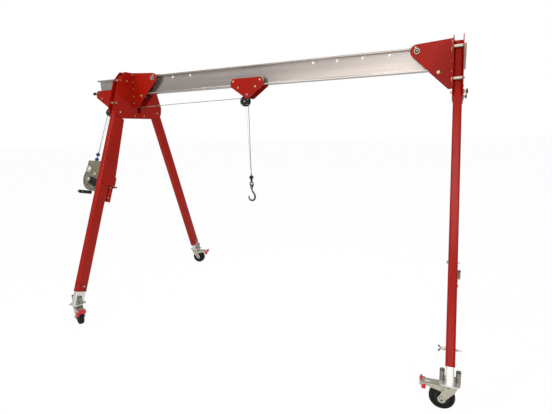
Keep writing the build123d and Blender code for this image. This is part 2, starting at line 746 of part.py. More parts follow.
# Rope under the beam, and down from the trolley
start = (tip_tilted * Pos(*top_point)).position
turn_x = trolley_x + trolley_block_x
turn_z = beam_bottom - tip_drop - block_drop
stop = Vector(turn_x, 0, turn_z + line)
step = (stop - start).normalized() * seat
top_run = sweep(Plane(origin=start + step, z_dir=step) * Circle(rope_radius), path=Line(start + step, stop - step))
save("rope_top_run", whole * top_run)
bend = math.cos(math.radians(45)) * line
rope_end = hook_rope_z - rope_socket + seat
over = ThreePointArc((turn_x, 0, turn_z + line), (turn_x + bend, 0, turn_z + bend), (turn_x + line, 0, turn_z))
fall = over + Line((turn_x + line, 0, turn_z), (turn_x + line, 0, rope_end))
save("rope_fall", whole * sweep(Plane(origin=(turn_x, 0, turn_z + line), z_dir=(1, 0, 0)) * Circle(rope_radius),
                                path=fall))

# Hook: a stop ball, a swivel with its eye, and the hook in that eye
hook_at = whole * Pos(turn_x + line, 0, hook_rope_z)
swivel = Sphere(stop_radius)
swivel += rod_z(swivel_radius, -stop_radius - swivel_long, -stop_radius / 2)
eye_z = -stop_radius - swivel_long - eye_radius
swivel += Pos(0, 0, eye_z) * Rot(90, 0, 0) * Torus(eye_radius, eye_wire)
swivel -= rod_z(rope_radius + seat, -rope_socket, stop_radius + overrun)
save("hook_swivel", hook_at * swivel)
ring_z = eye_z - 2 * (eye_radius - eye_wire) + seat
hook = Pos(0, 0, ring_z) * Rot(0, 90, 0) * Torus(eye_radius, eye_wire)
bent = Spline(*[(x, 0, z) for x, z in hook_line])
hook += sweep(Plane(origin=bent @ 0, z_dir=bent % 0) * Circle(hook_wire), path=bent)
hook += Pos(*(bent @ 1)) * Sphere(hook_wire)
save("hook", hook_at * hook)


# Casters
def fork(turn):
    """A caster's fork drawn at the origin with its wheel trailing towards +X, then turned."""
    shape = rod_z(fork_head, fork_top - fork_crown, fork_head_top)
    shape += rod_z(king_radius, fork_top, foot_height - foot_plate / 3 - seat)
    half = fork_in + fork_thick
    shape += block(-fork_reach, crown_far, -half, half, fork_top - fork_crown, fork_top)
    for s in (-1, 1):
        outline = [(-fork_reach, fork_top), (crown_far, fork_top), (trail + fork_low, wheel_r),
                   (trail, wheel_r - fork_low), (trail - fork_low, wheel_r), (fork_knee - fork_reach, fork_top - fork_skirt)]
        cheek = sheet_xz(outline, s * fork_in, s * half)
        cheek += rod_y(fork_low, s * fork_in, s * half, trail, wheel_r)
        cheek -= rod_y(pedal_pin + seat, -2 * half, 2 * half, *pedal_pivot)
        shape += cheek
    shape += rod_y(caster_axle, -half - bolt_head_thick, half + bolt_head_thick, trail, wheel_r)
    for s in (-1, 1):
        shape += rod_y(axle_nut, s * half, s * (half + bolt_head_thick), trail, wheel_r)
    return Rot(0, 0, turn) * shape


def caster_wheel(turn):
    """A tyre with rounded shoulders on a hub that stands out of a dished face."""
    half = tread_wide / 2
    shape = rod_y(wheel_r, -half, half)
    shape = fillet(shape.edges().filter_by(GeomType.CIRCLE), tread_round)
    for s in (-1, 1):
        shape -= rod_y(dish_radius, s * (half - dish_deep), s * (half + overrun))
    shape += rod_y(hub_radius, -hub_wide / 2, hub_wide / 2)
    shape -= rod_y(axle_bore, -hub_wide, hub_wide)
    return Rot(0, 0, turn) * Pos(trail, 0, wheel_r) * shape


def brake(turn):
    """The brake's pedal: a slotted plate with side flanges, a pad at its tip and one on its front flange."""
    px, pz = pedal_pivot
    upper = [(pedal_root, pedal_root_z), (pedal_far, pedal_tip_z), (pedal_far, pedal_tip_z - pedal_thick),
             (pedal_root, pedal_root_z - pedal_thick)]
    shape = sheet_xz(upper, -pedal_half, pedal_half)
    slot_x = pedal_far - pad_long - slot_long
    shape -= block(slot_x, slot_x + slot_long, -slot_wide / 2, slot_wide / 2, flange_low, pedal_root_z)
    side = [(pedal_root, pedal_root_z), (pedal_far, pedal_tip_z), (pedal_far, pedal_tip_z - 2 * pedal_thick),
            (flange_low_at, flange_low), (pedal_root, pz - 2 * pedal_pin)]
    for s in (-1, 1):
        shape += sheet_xz(side, s * pedal_half, s * (pedal_half + pedal_thick))
    half = fork_in + fork_thick
    shape += rod_y(pedal_pin, -half - pedal_pin, half + pedal_pin, px, pz)
    edge = pedal_half + pedal_thick
    shape += block(pedal_far, pedal_far + pad_long, -edge, edge, pedal_tip_z - pad_tall / 2,
                   pedal_tip_z + pad_tall / 2)
    shape += block(pedal_far - low_pad_long / 2, pedal_far + low_pad_long / 2, -edge - low_pad_wide, -pedal_half,
                   pedal_tip_z - pedal_thick - low_pad_tall, pedal_tip_z - pedal_thick)
    return Rot(0, 0, turn) * shape


turns = {"front_left": -28, "rear_left": 10, "front_right": 180, "rear_right": 90}
for tag, (side, row, end, pin) in feet.items():
    at = whole * Pos(side * foot_x, row * foot_half, 0)
    save(f"caster_fork_{tag}", at * fork(turns[tag]))
    save(f"caster_wheel_{tag}", at * caster_wheel(turns[tag]))
    save(f"caster_brake_{tag}", at * brake(turns[tag]))
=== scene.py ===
"""Portable gantry crane: the looks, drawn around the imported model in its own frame.

Shapes are drawn in mm in the crane's frame, or in one of its leaning frames, and are brought to metres when
a piece is finished. X runs along the beam with the winch at -X, Y across it with the front at -Y, Z up.
"""
import math

import bmesh
import bpy
from bpy.props import FloatProperty, FloatVectorProperty, IntProperty, PointerProperty
from bpy.types import Operator, Panel, PropertyGroup
from mathutils import Matrix, Vector


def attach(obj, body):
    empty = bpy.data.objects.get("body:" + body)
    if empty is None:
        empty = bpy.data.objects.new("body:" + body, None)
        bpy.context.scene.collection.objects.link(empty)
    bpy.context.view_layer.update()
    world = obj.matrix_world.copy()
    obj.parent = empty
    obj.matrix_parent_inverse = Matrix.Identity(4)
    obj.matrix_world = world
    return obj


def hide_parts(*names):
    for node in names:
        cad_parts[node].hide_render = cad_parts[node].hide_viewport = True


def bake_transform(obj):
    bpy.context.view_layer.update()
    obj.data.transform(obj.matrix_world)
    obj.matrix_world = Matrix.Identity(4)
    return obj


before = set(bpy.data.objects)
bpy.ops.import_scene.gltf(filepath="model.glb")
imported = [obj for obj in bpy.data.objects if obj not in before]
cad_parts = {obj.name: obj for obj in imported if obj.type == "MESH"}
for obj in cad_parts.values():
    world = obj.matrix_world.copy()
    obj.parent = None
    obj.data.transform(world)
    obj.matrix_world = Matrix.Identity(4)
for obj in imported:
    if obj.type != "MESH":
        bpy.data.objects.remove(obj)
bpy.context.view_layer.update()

bl_info = {
    "name": "Portable Gantry Crane",
    "version": (1, 0, 0),
    "blender": (4, 5, 0),
    "location": "View3D > Sidebar > Gantry Crane",
    "description": "Builds the dressed crane around its packed solids",
    "category": "Object",
}

MM = 0.001

# The crane's own sizes in mm, as its solids have them
MIDDLE = (204.0, -24.0, 0.0)
HALF_SPAN = 1450.0
BEAM_BOTTOM = 1995.0
FOOT_HEIGHT = 177.0
FOOT_HALF = 885.0
TOP_HALF = 190.0
SPLAY_OUT = 52.0
LEAN = math.atan2(FOOT_HALF - TOP_HALF, BEAM_BOTTOM - FOOT_HEIGHT)
SPLAY = math.atan2(SPLAY_OUT, BEAM_BOTTOM - FOOT_HEIGHT)
LEG_WIDE = 53.0
LEG_DEEP = 104.0
PLATE = 6.0
SEAT = 0.3
HALF_PLATE = LEG_WIDE / 2 + SEAT
HEAD_END = HALF_PLATE + PLATE
FLANGE_END = HEAD_END + SEAT + PLATE
PLATES_INSIDE = 50.0
GUSSET_END = PLATES_INSIDE + PLATE
SPACER_HEIGHTS = (119.0, -87.0)
SPACER_OFF = (LEG_DEEP / 2 + 12.0) / math.cos(LEAN)
HEAD_PIN_DROP = 169.0
HEIGHT_PINS = {(-1, -1): 317.0, (-1, 1): 292.0, (1, -1): 339.0, (1, 1): 339.0}
LOBE = (272.0, 138.0)
REST = (125.0, -15.3)
AXLE_REACH = 126.0
AXLE_UP = 40.3
TIE = (82.0, -12.0)
TIP_DROP = 75.0
TROLLEY_X = -180.0
END_X = -1755.0
BLOCK_DROP = 49.0
TROLLEY_BLOCK_X = -46.0
END_BLOCK_X = -27.0
END_BLOCK_DROP = 53.0
ROPE_LINE = 28.0
ROPE_RADIUS = 3.0
HOOK_UP = 1210.0
WINCH_HEIGHT = 1232.0
TRAIL = 38.0
WHEEL_R = 72.0
TAGS = {(-1, -1): "front_left", (-1, 1): "rear_left", (1, -1): "front_right", (1, 1): "rear_right"}
TURNS = {(-1, -1): -28.0, (-1, 1): 10.0, (1, -1): 180.0, (1, 1): 90.0}

# Bolt heads: radius and height of head and washer together, and the washer's thickness, in mm
SMALL_HEAD = (6.5, 5.0, 1.2)
CORNER_HEAD = (8.0, 5.5, 1.4)
SPACER_HEAD = (8.5, 6.8, 1.6)
TIE_HEAD = (8.5, 7.0, 1.6)
AXLE_HEAD = (8.8, 7.0, 1.6)
REST_HEAD = (12.0, 7.0, 1.6)
CASE_HEAD = (6.0, 5.0, 1.2)

# Places on the head plates in mm: heights, and pairs of a distance from the middle and a height
FLANGE_BOLTS = (180.0, 115.0, 50.0, -15.0, -80.0)
FLANGE_BOLTS_OFF = 68.0
CORNER_BOLT = (143.0, 119.0)
PLUG = (153.0, -24.0)
LOWER_BOLT = (64.0, -203.0)
# The wire that starts at the bolt on a gusset's lobe, inwards and up
LOBE_WIRE = ((277.0, 172.0), (292.0, 190.0), (310.0, 186.0), (318.0, 166.0), (312.0, 150.0))
# On a foot: the bosses, the top of their sleeves, and the studs in X and Y
BOSS_OFF = 43.0
SLEEVE_TOP = 61.0
STUD = (26.0, 41.0)
# On a caster: the outsides of the fork and pedal, and where the pedal's pads begin
FORK_HALF = 35.0
PEDAL_HALF = 30.0
PAD_TIP = 150.2
PAD_START = 126.0
PAD_SIDE = 30.2
# On the trolley and the end bracket: half a bolt's length, the rollers' inside and the pulley block's outside
BOLT_REACH = 57.0
ROLLER_IN = 31.0
BLOCK_HALF = 16.0
# In the winch's frame, towards the rear: case, crank arm and post, and the lever bar with its height
CASE_FACE = 122.0
ARM_FACE = 113.0
POST_OFF = 100.3
LEVER = (147.0, -120.3)
# How far the crank arm hangs down, in degrees
ARM_DOWN = 18.0
# Radius of the balls, and their places along the rope from the winch
BALL = 19.0
BALL_HEIGHTS = (177.0, 227.0)
# How far the swivel's ring is under the stop ball
RING_DROP = 62.0

# Faces that turn by less than the first are one flat, edges that turn by more than the second are rounded, and
# the shading runs on over edges up to the third
FLAT_ANGLE = math.radians(0.5)
SHARP_ANGLE = math.radians(30.0)
SMOOTH_ANGLE = math.radians(50.0)

# The end pulley's leaning frame, and the rope that runs to the winch in it
PEG = (-1755.0, 0.0, 1894.5)
ROPE_TILT = math.radians(23.7978)
ROPE_FOOT = (-62.3099, -737.2408)
ROPE_LEAVE = math.radians(-180.612) % (2 * math.pi)


def move(x=0.0, y=0.0, z=0.0):
    return Matrix.Translation((x, y, z))


def turn(degrees, axis):
    return Matrix.Rotation(math.radians(degrees), 4, axis)


WHOLE = move(*MIDDLE)
END_FRAME = move(-HALF_SPAN, 0, BEAM_BOTTOM) @ Matrix.Rotation(SPLAY, 4, "Y")
MIRROR = Matrix.Scale(-1, 4, (1, 0, 0))
TROLLEY = WHOLE @ move(TROLLEY_X, 0, BEAM_BOTTOM)
END_BRACKET = WHOLE @ move(END_X, 0, BEAM_BOTTOM)
END_TILTED = WHOLE @ move(*PEG) @ Matrix.Rotation(-ROPE_TILT, 4, "X")
HOOK = WHOLE @ move(TROLLEY_X + TROLLEY_BLOCK_X + ROPE_LINE, 0, HOOK_UP)
UPRIGHT = turn(90, "X")


def end_frame(side):
    """The leaning frame of the left (-1) or right (1) end."""
    return WHOLE @ (MIRROR if side > 0 else Matrix()) @ END_FRAME


def leg_frame(side, row):
    """A leg's frame: x across it, y towards the crane's rear, z up along it."""
    return end_frame(side) @ move(0, row * TOP_HALF, 0) @ Matrix.Rotation(row * LEAN, 4, "X")


def along(height):
    """The place along a leg at a height above the floor."""
    return (height - BEAM_BOTTOM) / math.cos(LEAN)


def leg_y(z):
    """How far a leg's axis is from the middle at a height from the beam's underside."""
    return TOP_HALF - z * math.tan(LEAN)


def in_plane(x, z):
    """A point beside the beam, x inwards from the end frame's foot and z up, in the leaning frame."""
    return x * math.cos(SPLAY) - z * math.sin(SPLAY), x * math.sin(SPLAY) + z * math.cos(SPLAY)


def foot(side, row):
    """The middle of a foot on the floor."""
    return WHOLE @ move(side * (HALF_SPAN + SPLAY_OUT), row * FOOT_HALF)


def caster(side, row):
    """A caster's frame on the floor under its king pin, its wheel trailing towards +X."""
    return foot(side, row) @ turn(TURNS[side, row], "Z")


WINCH_LEG = leg_frame(-1, -1)
WINCH = WINCH_LEG @ move(-300.0, 0, along(WINCH_HEIGHT))


def aim(place, way):
    """A frame at a place with +Z along a direction."""
    return Matrix.Translation(place) @ Vector(way).to_track_quat("Z", "Y").to_matrix().to_4x4()


def facing_x(at, x, y, z, way=1):
    """A frame at a place in another one, with +Z along its X (1) or against it (-1)."""
    return at @ aim((x, y, z), (way, 0, 0))


def facing_y(at, x, z, row=1, off=0.0):
    """A frame in another one, off to its +Y side (1) or -Y side (-1), with +Z pointing that way."""
    return at @ aim((x, row * off, z), (0, row, 0))


def winch_run():
    """Where the rope meets the winch, and its straight line up to the end pulley, in that pulley's frame."""
    off = Vector((END_BLOCK_X + ROPE_LINE * math.cos(ROPE_LEAVE), 0,
                  ROPE_LINE * math.sin(ROPE_LEAVE) - END_BLOCK_DROP))
    low = Vector((ROPE_FOOT[0], 0, ROPE_FOOT[1]))
    return low, off - low


# Solids, each returned as a bmesh in mm
def turned(profile, steps=24):
    """A solid of revolution about Z from a profile of (radius, height)."""
    bm = bmesh.new()
    verts = [bm.verts.new((r, 0, z)) for r, z in profile]
    edges = [bm.edges.new(pair) for pair in zip(verts, verts[1:])]
    bmesh.ops.spin(bm, geom=verts + edges, cent=(0, 0, 0), axis=(0, 0, 1), angle=2 * math.pi, steps=steps,
                   use_merge=True)
    bmesh.ops.remove_doubles(bm, verts=bm.verts, dist=0.001)
    bmesh.ops.recalc_face_normals(bm, faces=bm.faces)
    return bm


def rod(radius, low, high, edge=0.8, steps=20):
    """A round bar along Z with chamfered ends."""
    return turned([(0, low), (radius - edge, low), (radius, low + edge), (radius, high - edge),
                   (radius - edge, high), (0, high)], steps)


def ring(inner, outer, low, high, edge=0.6, steps=28):
    """A flat ring or a sleeve about Z."""
    return turned([(inner, low), (outer - edge, low), (outer, low + edge), (outer, high - edge),
                   (outer - edge, high), (inner, high), (inner, low)], steps)


def ball(radius, squash=1.0, steps=24):
    """A sphere, or one flattened along Z."""
    bm = bmesh.new()
    bmesh.ops.create_uvsphere(bm, u_segments=steps, v_segments=steps // 2, radius=radius)
    bmesh.ops.scale(bm, vec=(1, 1, squash), verts=bm.verts)
    return bm


def rounded(bm, edges, width, segments=2):
    """Round some of a solid's edges."""
    bmesh.ops.bevel(bm, geom=edges, offset=width, offset_type="OFFSET", segments=segments, profile=0.5,
                    affect="EDGES", material=-1)
    return bm


def flat(points, thick, edge, corner=0.0):
    """A plate from its outline in XY, thick along +Z, with rounded corners and edges."""
    bm = bmesh.new()
    face = bm.faces.new([bm.verts.new((x, y, 0)) for x, y in points])
    made = bmesh.ops.extrude_face_region(bm, geom=[face])
    top = [item for item in made["geom"] if isinstance(item, bmesh.types.BMVert)]
    bmesh.ops.translate(bm, vec=(0, 0, thick), verts=top)
    bmesh.ops.recalc_face_normals(bm, faces=bm.faces)
    if corner:
        upright = [e for e in bm.edges if abs(e.verts[0].co.z - e.verts[1].co.z) > thick / 2]
        rounded(bm, upright, corner, 5)
    rim = [e for e in bm.edges if abs(e.verts[0].co.z - e.verts[1].co.z) < thick / 2]
    return rounded(bm, rim, edge)


def block(x0, x1, y0, y1, z0, z1, edge=1.0):
    """A box with rounded edges."""
    bm = bmesh.new()
    bmesh.ops.create_cube(bm, size=1)
    bmesh.ops.scale(bm, vec=(abs(x1 - x0), abs(y1 - y0), abs(z1 - z0)), verts=bm.verts)
    bmesh.ops.translate(bm, vec=((x0 + x1) / 2, (y0 + y1) / 2, (z0 + z1) / 2), verts=bm.verts)
    return rounded(bm, bm.edges[:], edge)


def hexagon(radius, thick):
    """A bolt head or nut standing on XY, its outer edge chamfered."""
    bm = bmesh.new()
    bmesh.ops.create_cone(bm, cap_ends=True, segments=6, radius1=radius, radius2=radius, depth=thick)
    bmesh.ops.translate(bm, vec=(0, 0, thick / 2), verts=bm.verts)
    top = [e for e in bm.edges if min(v.co.z for v in e.verts) > thick * 0.9]
    return rounded(bm, top, radius * 0.12)


def fluted(radius, low, high, flutes, deep):
    """A sleeve with fine upright ribs."""
    bm = bmesh.new()
    bmesh.ops.create_cone(bm, cap_ends=True, segments=2 * flutes, radius1=radius, radius2=radius, depth=high - low)
    bmesh.ops.translate(bm, vec=(0, 0, (low + high) / 2), verts=bm.verts)
    for v in bm.verts:
        if round(math.atan2(v.co.y, v.co.x) * flutes / math.pi) % 2:
            v.co.xy *= (radius - deep) / radius
    return bm


def bent(points, radius, sides=3, taper=None):
    """A round bar along a smooth line through a few points, as thick at each as taper says."""
    curve = bpy.data.curves.new("bar", "CURVE")
    curve.dimensions = "3D"
    curve.bevel_depth = radius
    curve.bevel_resolution = sides
    curve.use_fill_caps = True
    curve.resolution_u = 10
    spline = curve.splines.new("NURBS")
    spline.points.add(len(points) - 1)
    for i, (point, place) in enumerate(zip(spline.points, points)):
        point.co = (*place, 1)
        point.radius = taper[i] if taper else 1.0
    spline.order_u = 3
    spline.use_endpoint_u = True
    holder = bpy.data.objects.new("bar", curve)
    mesh = bpy.data.meshes.new_from_object(holder)
    bm = bmesh.new()
    bm.from_mesh(mesh)
    bmesh.ops.remove_doubles(bm, verts=bm.verts, dist=0.001)
    bmesh.ops.recalc_face_normals(bm, faces=bm.faces)
    bpy.data.objects.remove(holder)
    bpy.data.curves.remove(curve)
    bpy.data.meshes.remove(mesh)
    return bm


def hoop(radius, wire, steps=36):
    """A closed ring of round wire about Z."""
    around = [math.radians(a) for a in range(0, 361, 36)]
    return turned([(radius + wire * math.cos(a), wire * math.sin(a)) for a in around], steps)


def both_sides(half):
    """A closed profile from its upper half."""
    return half + [(r, -z) for r, z in reversed(half)] + half[:1]


def dressed(node, edge):
    """A copy of a solid with its edges rounded, in mm."""
    bm = bmesh.new()
    bm.from_mesh(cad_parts[node].data)
    bmesh.ops.scale(bm, vec=(1 / MM,) * 3, verts=bm.verts)
    bmesh.ops.remove_doubles(bm, verts=bm.verts, dist=0.01)
    if edge:
        bmesh.ops.dissolve_limit(bm, angle_limit=FLAT_ANGLE, verts=bm.verts, edges=bm.edges)
        hard = [e for e in bm.edges if len(e.link_faces) == 2 and e.calc_face_angle(0) > SHARP_ANGLE]
        rounded(bm, hard, edge)
    return bm


def weigh_normals(mesh):
    """Lean each corner's normal on the largest faces around it, so that flats stay flat beside rounded edges."""
    limit = math.cos(SMOOTH_ANGLE)
    faces = [(polygon.area, polygon.normal.copy()) for polygon in mesh.polygons]
    around = [[] for _ in mesh.vertices]
    for polygon in mesh.polygons:
        for corner in polygon.loop_indices:
            around[mesh.loops[corner].vertex_index].append((polygon.area, polygon.index, corner))
    normals = [(0.0, 0.0, 0.0)] * len(mesh.loops)
    for corners in filter(None, around):
        main = faces[max(corners)[1]][1]
        near = [(faces[index], corner) for _, index, corner in corners if faces[index][1].dot(main) > limit]
        total = sum((normal * area for (area, normal), _ in near), Vector())
        if total.length:
            for _, corner in near:
                normals[corner] = tuple(total.normalized())
    mesh.normals_split_custom_set(normals)


class Piece:
    """One object of the scene, gathered from parts drawn in mm."""

    def __init__(self, name, body, slot, *finishes):
        self.name, self.body, self.slot, self.finishes = name, body, slot, finishes
        self.bm = bmesh.new()

    def add(self, part, at=None, finish=None, where=None):
        """Set a part at its place, in the piece's first finish, a named one, or what where names for each face."""
        if at is not None:
            bmesh.ops.transform(part, matrix=at, verts=part.verts)
            if at.determinant() < 0:
                bmesh.ops.reverse_faces(part, faces=part.faces)
        for face in part.faces:
            named = where(face.calc_center_median()) if where else finish
            face.material_index = self.finishes.index(named) if named else 0
        mesh = bpy.data.meshes.new("part")
        part.to_mesh(mesh)
        part.free()
        self.bm.from_mesh(mesh)
        bpy.data.meshes.remove(mesh)
        return self

    def bolt(self, at, radius, thick, washer, finish=None):
        """A washer and a hexagon head standing on the frame's XY."""
        self.add(rod(radius, 0, washer, 0.4), at, finish)
        self.add(hexagon(radius * 0.92, thick - washer), at @ move(0, 0, washer), finish)

    def socket(self, at, radius, thick):
        """A round head with a socket whose black floor is painted shade in the hole, standing on the frame's XY."""
        self.add(turned([(0, 0), (radius, 0), (radius, thick - 1), (radius - 1, thick), (radius * 0.55, thick),
                         (radius * 0.5, thick * 0.45), (0, thick * 0.45)]), at)
        # The socket's black floor is painted shade in the hole
        self.add(rod(radius * 0.5, thick * 0.45, thick * 0.5, 0.2, 6), at, "black_paint")

    def done(self, *nodes, weigh=True):
        """Finish the object: to metres, shaded smooth, riding on its body and standing for its solids."""
        bmesh.ops.scale(self.bm, vec=(MM,) * 3, verts=self.bm.verts)
        mesh = bpy.data.meshes.new(self.name)
        self.bm.to_mesh(mesh)
        self.bm.free()
        for polygon in mesh.polygons:
            polygon.use_smooth = True
        mesh.set_sharp_from_angle(angle=SMOOTH_ANGLE)
        if weigh:
            weigh_normals(mesh)
        for finish in self.finishes:
            mesh.materials.append(MATERIALS[finish])
        piece = bpy.data.objects.new(self.name, mesh)
        bpy.context.scene.collection.objects.link(piece)
        if self.body:
            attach(piece, self.body)
        if nodes:
            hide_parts(*nodes)
        return piece


def dress(name, body, slot, finish, node, edge):
    """A piece that is its solid with the edges rounded and nothing more."""
    Piece(name, body, slot, finish).add(dressed(node, edge)).done(node)


# Materials
MATERIALS = {}
# The parts of a noise's range over which patches change, specks fade in and the grain's shine runs
PATCH_RANGE = (0.35, 0.68)
SPECK_FADE = 0.06
GRAIN_RANGE = (0.3, 0.7)


def colour(value):
    """An sRGB hex colour as linear RGBA. One that is linear already stays as it is."""
    if not isinstance(value, str):
        return tuple(value)
    parts = [int(value[i:i + 2], 16) / 255 for i in (1, 3, 5)]
    return [p / 12.92 if p <= 0.04045 else ((p + 0.055) / 1.055) ** 2.4 for p in parts] + [1.0]


def add(tree, kind, fields=None, inputs=None):
    """Add a shader node with its settings, and its sockets' values or links."""
    made = tree.nodes.new(kind)
    for key, value in (fields or {}).items():
        setattr(made, key, value)
    for key, value in (inputs or {}).items():
        if isinstance(value, bpy.types.NodeSocket):
            tree.links.new(value, made.inputs[key])
        else:
            made.inputs[key].default_value = value
    return made


def surface(name, base, worn, metallic=0.0, rough=(0.3, 0.4), grain=2.0, run=(1, 1, 1), relief=0.0, patch=120.0,
            gloss=0.5, specks=None, speck_mm=3.0, speck_at=0.68):
    """A finish: patches of two colours, a grain that shines unevenly and stands out a little, and specks of wear.

    grain, patch and speck_mm are the real sizes of the patterns in mm, and run stretches the grain along an axis.
    """
    material = bpy.data.materials.new(name)
    material.use_nodes = True
    tree = material.node_tree
    shader = tree.nodes["Principled BSDF"]
    place = add(tree, "ShaderNodeTexCoord").outputs["Object"]
    drawn = add(tree, "ShaderNodeMapping", None, {"Vector": place, "Scale": run}).outputs["Vector"]
    broad = add(tree, "ShaderNodeTexNoise", None, {"Vector": drawn, "Scale": 1 / (patch * MM), "Detail": 4.0})
    fine = add(tree, "ShaderNodeTexNoise", None, {"Vector": drawn, "Scale": 1 / (grain * MM), "Detail": 5.0})
    share = add(tree, "ShaderNodeMapRange", None,
                {"Value": broad.outputs[0], "From Min": PATCH_RANGE[0], "From Max": PATCH_RANGE[1]}).outputs[0]
    tint = add(tree, "ShaderNodeMix", {"data_type": "RGBA"}, {0: share, 6: colour(base), 7: colour(worn)}).outputs[2]
    if specks:
        spot = add(tree, "ShaderNodeTexNoise", None,
                   {"Vector": place, "Scale": 1 / (speck_mm * MM), "Detail": 6.0, "Roughness": 0.7})
        mask = add(tree, "ShaderNodeMapRange", None,
                   {"Value": spot.outputs[0], "From Min": speck_at, "From Max": speck_at + SPECK_FADE}).outputs[0]
        tint = add(tree, "ShaderNodeMix", {"data_type": "RGBA"}, {0: mask, 6: tint, 7: colour(specks)}).outputs[2]
    shine = add(tree, "ShaderNodeMapRange", None,
                {"Value": fine.outputs[0], "From Min": GRAIN_RANGE[0], "From Max": GRAIN_RANGE[1],
                 "To Min": rough[0], "To Max": rough[1]})
    tree.links.new(tint, shader.inputs["Base Color"])
    tree.links.new(shine.outputs[0], shader.inputs["Roughness"])
    shader.inputs["Metallic"].default_value = metallic
    shader.inputs["Specular IOR Level"].default_value = gloss
    if relief:
        bump = add(tree, "ShaderNodeBump", None,
                   {"Height": fine.outputs[0], "Distance": relief * MM, "Strength": 0.8})
        tree.links.new(bump.outputs[0], shader.inputs["Normal"])
    MATERIALS[name] = material
    return material


def make_materials():
    s = bpy.context.scene.crane_colours
    # Powder coat: a deep even red with a low orange peel, which breaks its highlights softly
    surface("red_powder_coat", s.paint, s.paint_patch, rough=(0.2, 0.3), grain=3.5, relief=0.03, patch=260.0,
            gloss=0.14, specks="#760F09", speck_mm=14.0, speck_at=0.76)
    # Extruded aluminium: die lines and handling streaks along the beam
    surface("mill_aluminium", "#B2A8A0", "#BBB2AB", metallic=0.8, rough=(0.13, 0.22), grain=5.0, run=(0.02, 1, 1),
            relief=0.01, patch=60.0, specks="#A2968D", speck_mm=22.0, speck_at=0.74)
    # Brushed aluminium tube of the inner legs
    surface("plain_aluminium", "#D2CFCB", "#DAD7D4", metallic=0.7, rough=(0.28, 0.42), grain=2.0, run=(1, 1, 0.05),
            relief=0.03, patch=40.0)
    # Zinc plating: a warm silver with small duller patches
    surface("zinc_plate", "#B9B5A5", "#A5A190", metallic=0.75, rough=(0.25, 0.4), grain=1.5, relief=0.02, patch=14.0)
    # Ribbed sleeves on the feet's bosses: duller and darker than the plates
    surface("dull_zinc", "#8E8A7E", "#7D796C", metallic=0.6, rough=(0.35, 0.5), grain=1.5, relief=0.03, patch=14.0)
    # Yellow chromate on the bolts
    surface("chromate_bolt", "#C9B88E", "#B8A272", metallic=0.8, rough=(0.28, 0.42), grain=1.5, relief=0.02,
            patch=10.0)
    # Stranded steel rope: a dull grey, darker in patches where it has run over the sheaves
    surface("wire_rope", "#A19E98", "#7F7C77", metallic=0.8, rough=(0.35, 0.5), grain=2.0, relief=0.02, patch=15.0)
    # Die casting under grey paint: matt, slightly grained
    surface("winch_casting", "#787361", "#6A6555", metallic=0.1, rough=(0.42, 0.6), grain=2.5, relief=0.12,
            patch=45.0, gloss=0.35, specks="#A29D90", speck_mm=5.0, speck_at=0.7)
    # Satin black paint: nearly even, with a broad weak shine
    surface("black_paint", "#0F0D0C", "#171514", rough=(0.32, 0.5), grain=2.0, relief=0.04, patch=40.0, gloss=0.25)
    # Moulded balls on the rope: a deep even blue with a clear shine
    surface("blue_plastic", s.ball, s.ball_patch, rough=(0.22, 0.34), grain=4.0, relief=0.03, patch=20.0)
    # Solid rubber tyre: black gone slightly grey where it runs
    surface("tyre_rubber", "#0C0C09", "#181713", rough=(0.5, 0.7), grain=1.2, relief=0.1, patch=25.0, gloss=0.2)
    # Moulded plastic hub: a shade lighter and smoother than the tyre
    surface("wheel_hub", "#1A1A14", "#26251E", rough=(0.4, 0.55), grain=2.0, relief=0.05, patch=25.0, gloss=0.25)
    # Moulded nylon sheaves: nearly black, with a soft shine
    surface("moulded_nylon", "#1E1E1F", "#2A2A2B", rough=(0.4, 0.55), grain=1.5, relief=0.03, patch=20.0)
    # Undyed nylon rollers: a dusty grey
    surface("pale_nylon", "#A89F94", "#958C80", rough=(0.4, 0.55), grain=1.5, relief=0.03, patch=20.0)
    # Drop forged steel: dark, with an uneven skin
    surface("forged_steel", "#4B4C50", "#5E5F62", metallic=0.8, rough=(0.35, 0.5), grain=3.0, relief=0.08, patch=20.0)
    # Moulded pads of the pedals: a clean bright red
    surface("red_plastic", s.pad, s.pad_patch, rough=(0.3, 0.42), grain=2.0, relief=0.03, patch=20.0, gloss=0.3)
    # Bare casting on the winch, rubbed bright on its dome; its pale triangle by the hub is a painted highlight
    surface("bright_cast_and_highlight", "#C2BFB4", "#AAA79B", metallic=0.6, rough=(0.28, 0.42), grain=2.0, relief=0.05, patch=20.0)
    # Moulded knobs of the pins: a dark wine red
    surface("knob_plastic", "#4A1A20", "#3A1216", rough=(0.3, 0.45), grain=2.0, relief=0.03, patch=15.0, gloss=0.4)


# Ropes
def rope(length, lay, strands):
    """A wire rope along +Z from the origin: strands laid in a helix around a core."""
    thick = ROPE_RADIUS * 0.36
    per_lay = 10
    one = bmesh.new()
    made = bmesh.ops.create_circle(one, segments=6, radius=thick, matrix=move(ROPE_RADIUS - thick))
    edges = list({e for v in made["verts"] for e in v.link_edges})
    bmesh.ops.spin(one, geom=made["verts"] + edges, cent=(0, 0, 0), axis=(0, 0, 1), dvec=(0, 0, lay / per_lay),
                   angle=2 * math.pi, steps=per_lay)
    turns = max(1, round(length / lay))
    strand = stacked(one, turns, Matrix.Translation((0, 0, lay)))
    bmesh.ops.remove_doubles(strand, verts=strand.verts, dist=0.001)
    bm = stacked(strand, strands, Matrix.Rotation(2 * math.pi / strands, 4, "Z"))
    bmesh.ops.scale(bm, vec=(1, 1, length / (turns * lay)), verts=bm.verts)
    core = bmesh.ops.create_cone(bm, cap_ends=True, segments=8, radius1=ROPE_RADIUS * 0.5,
                                 radius2=ROPE_RADIUS * 0.5, depth=length)
    bmesh.ops.translate(bm, vec=(0, 0, length / 2), verts=core["verts"])
    bmesh.ops.recalc_face_normals(bm, faces=bm.faces)
    return bm


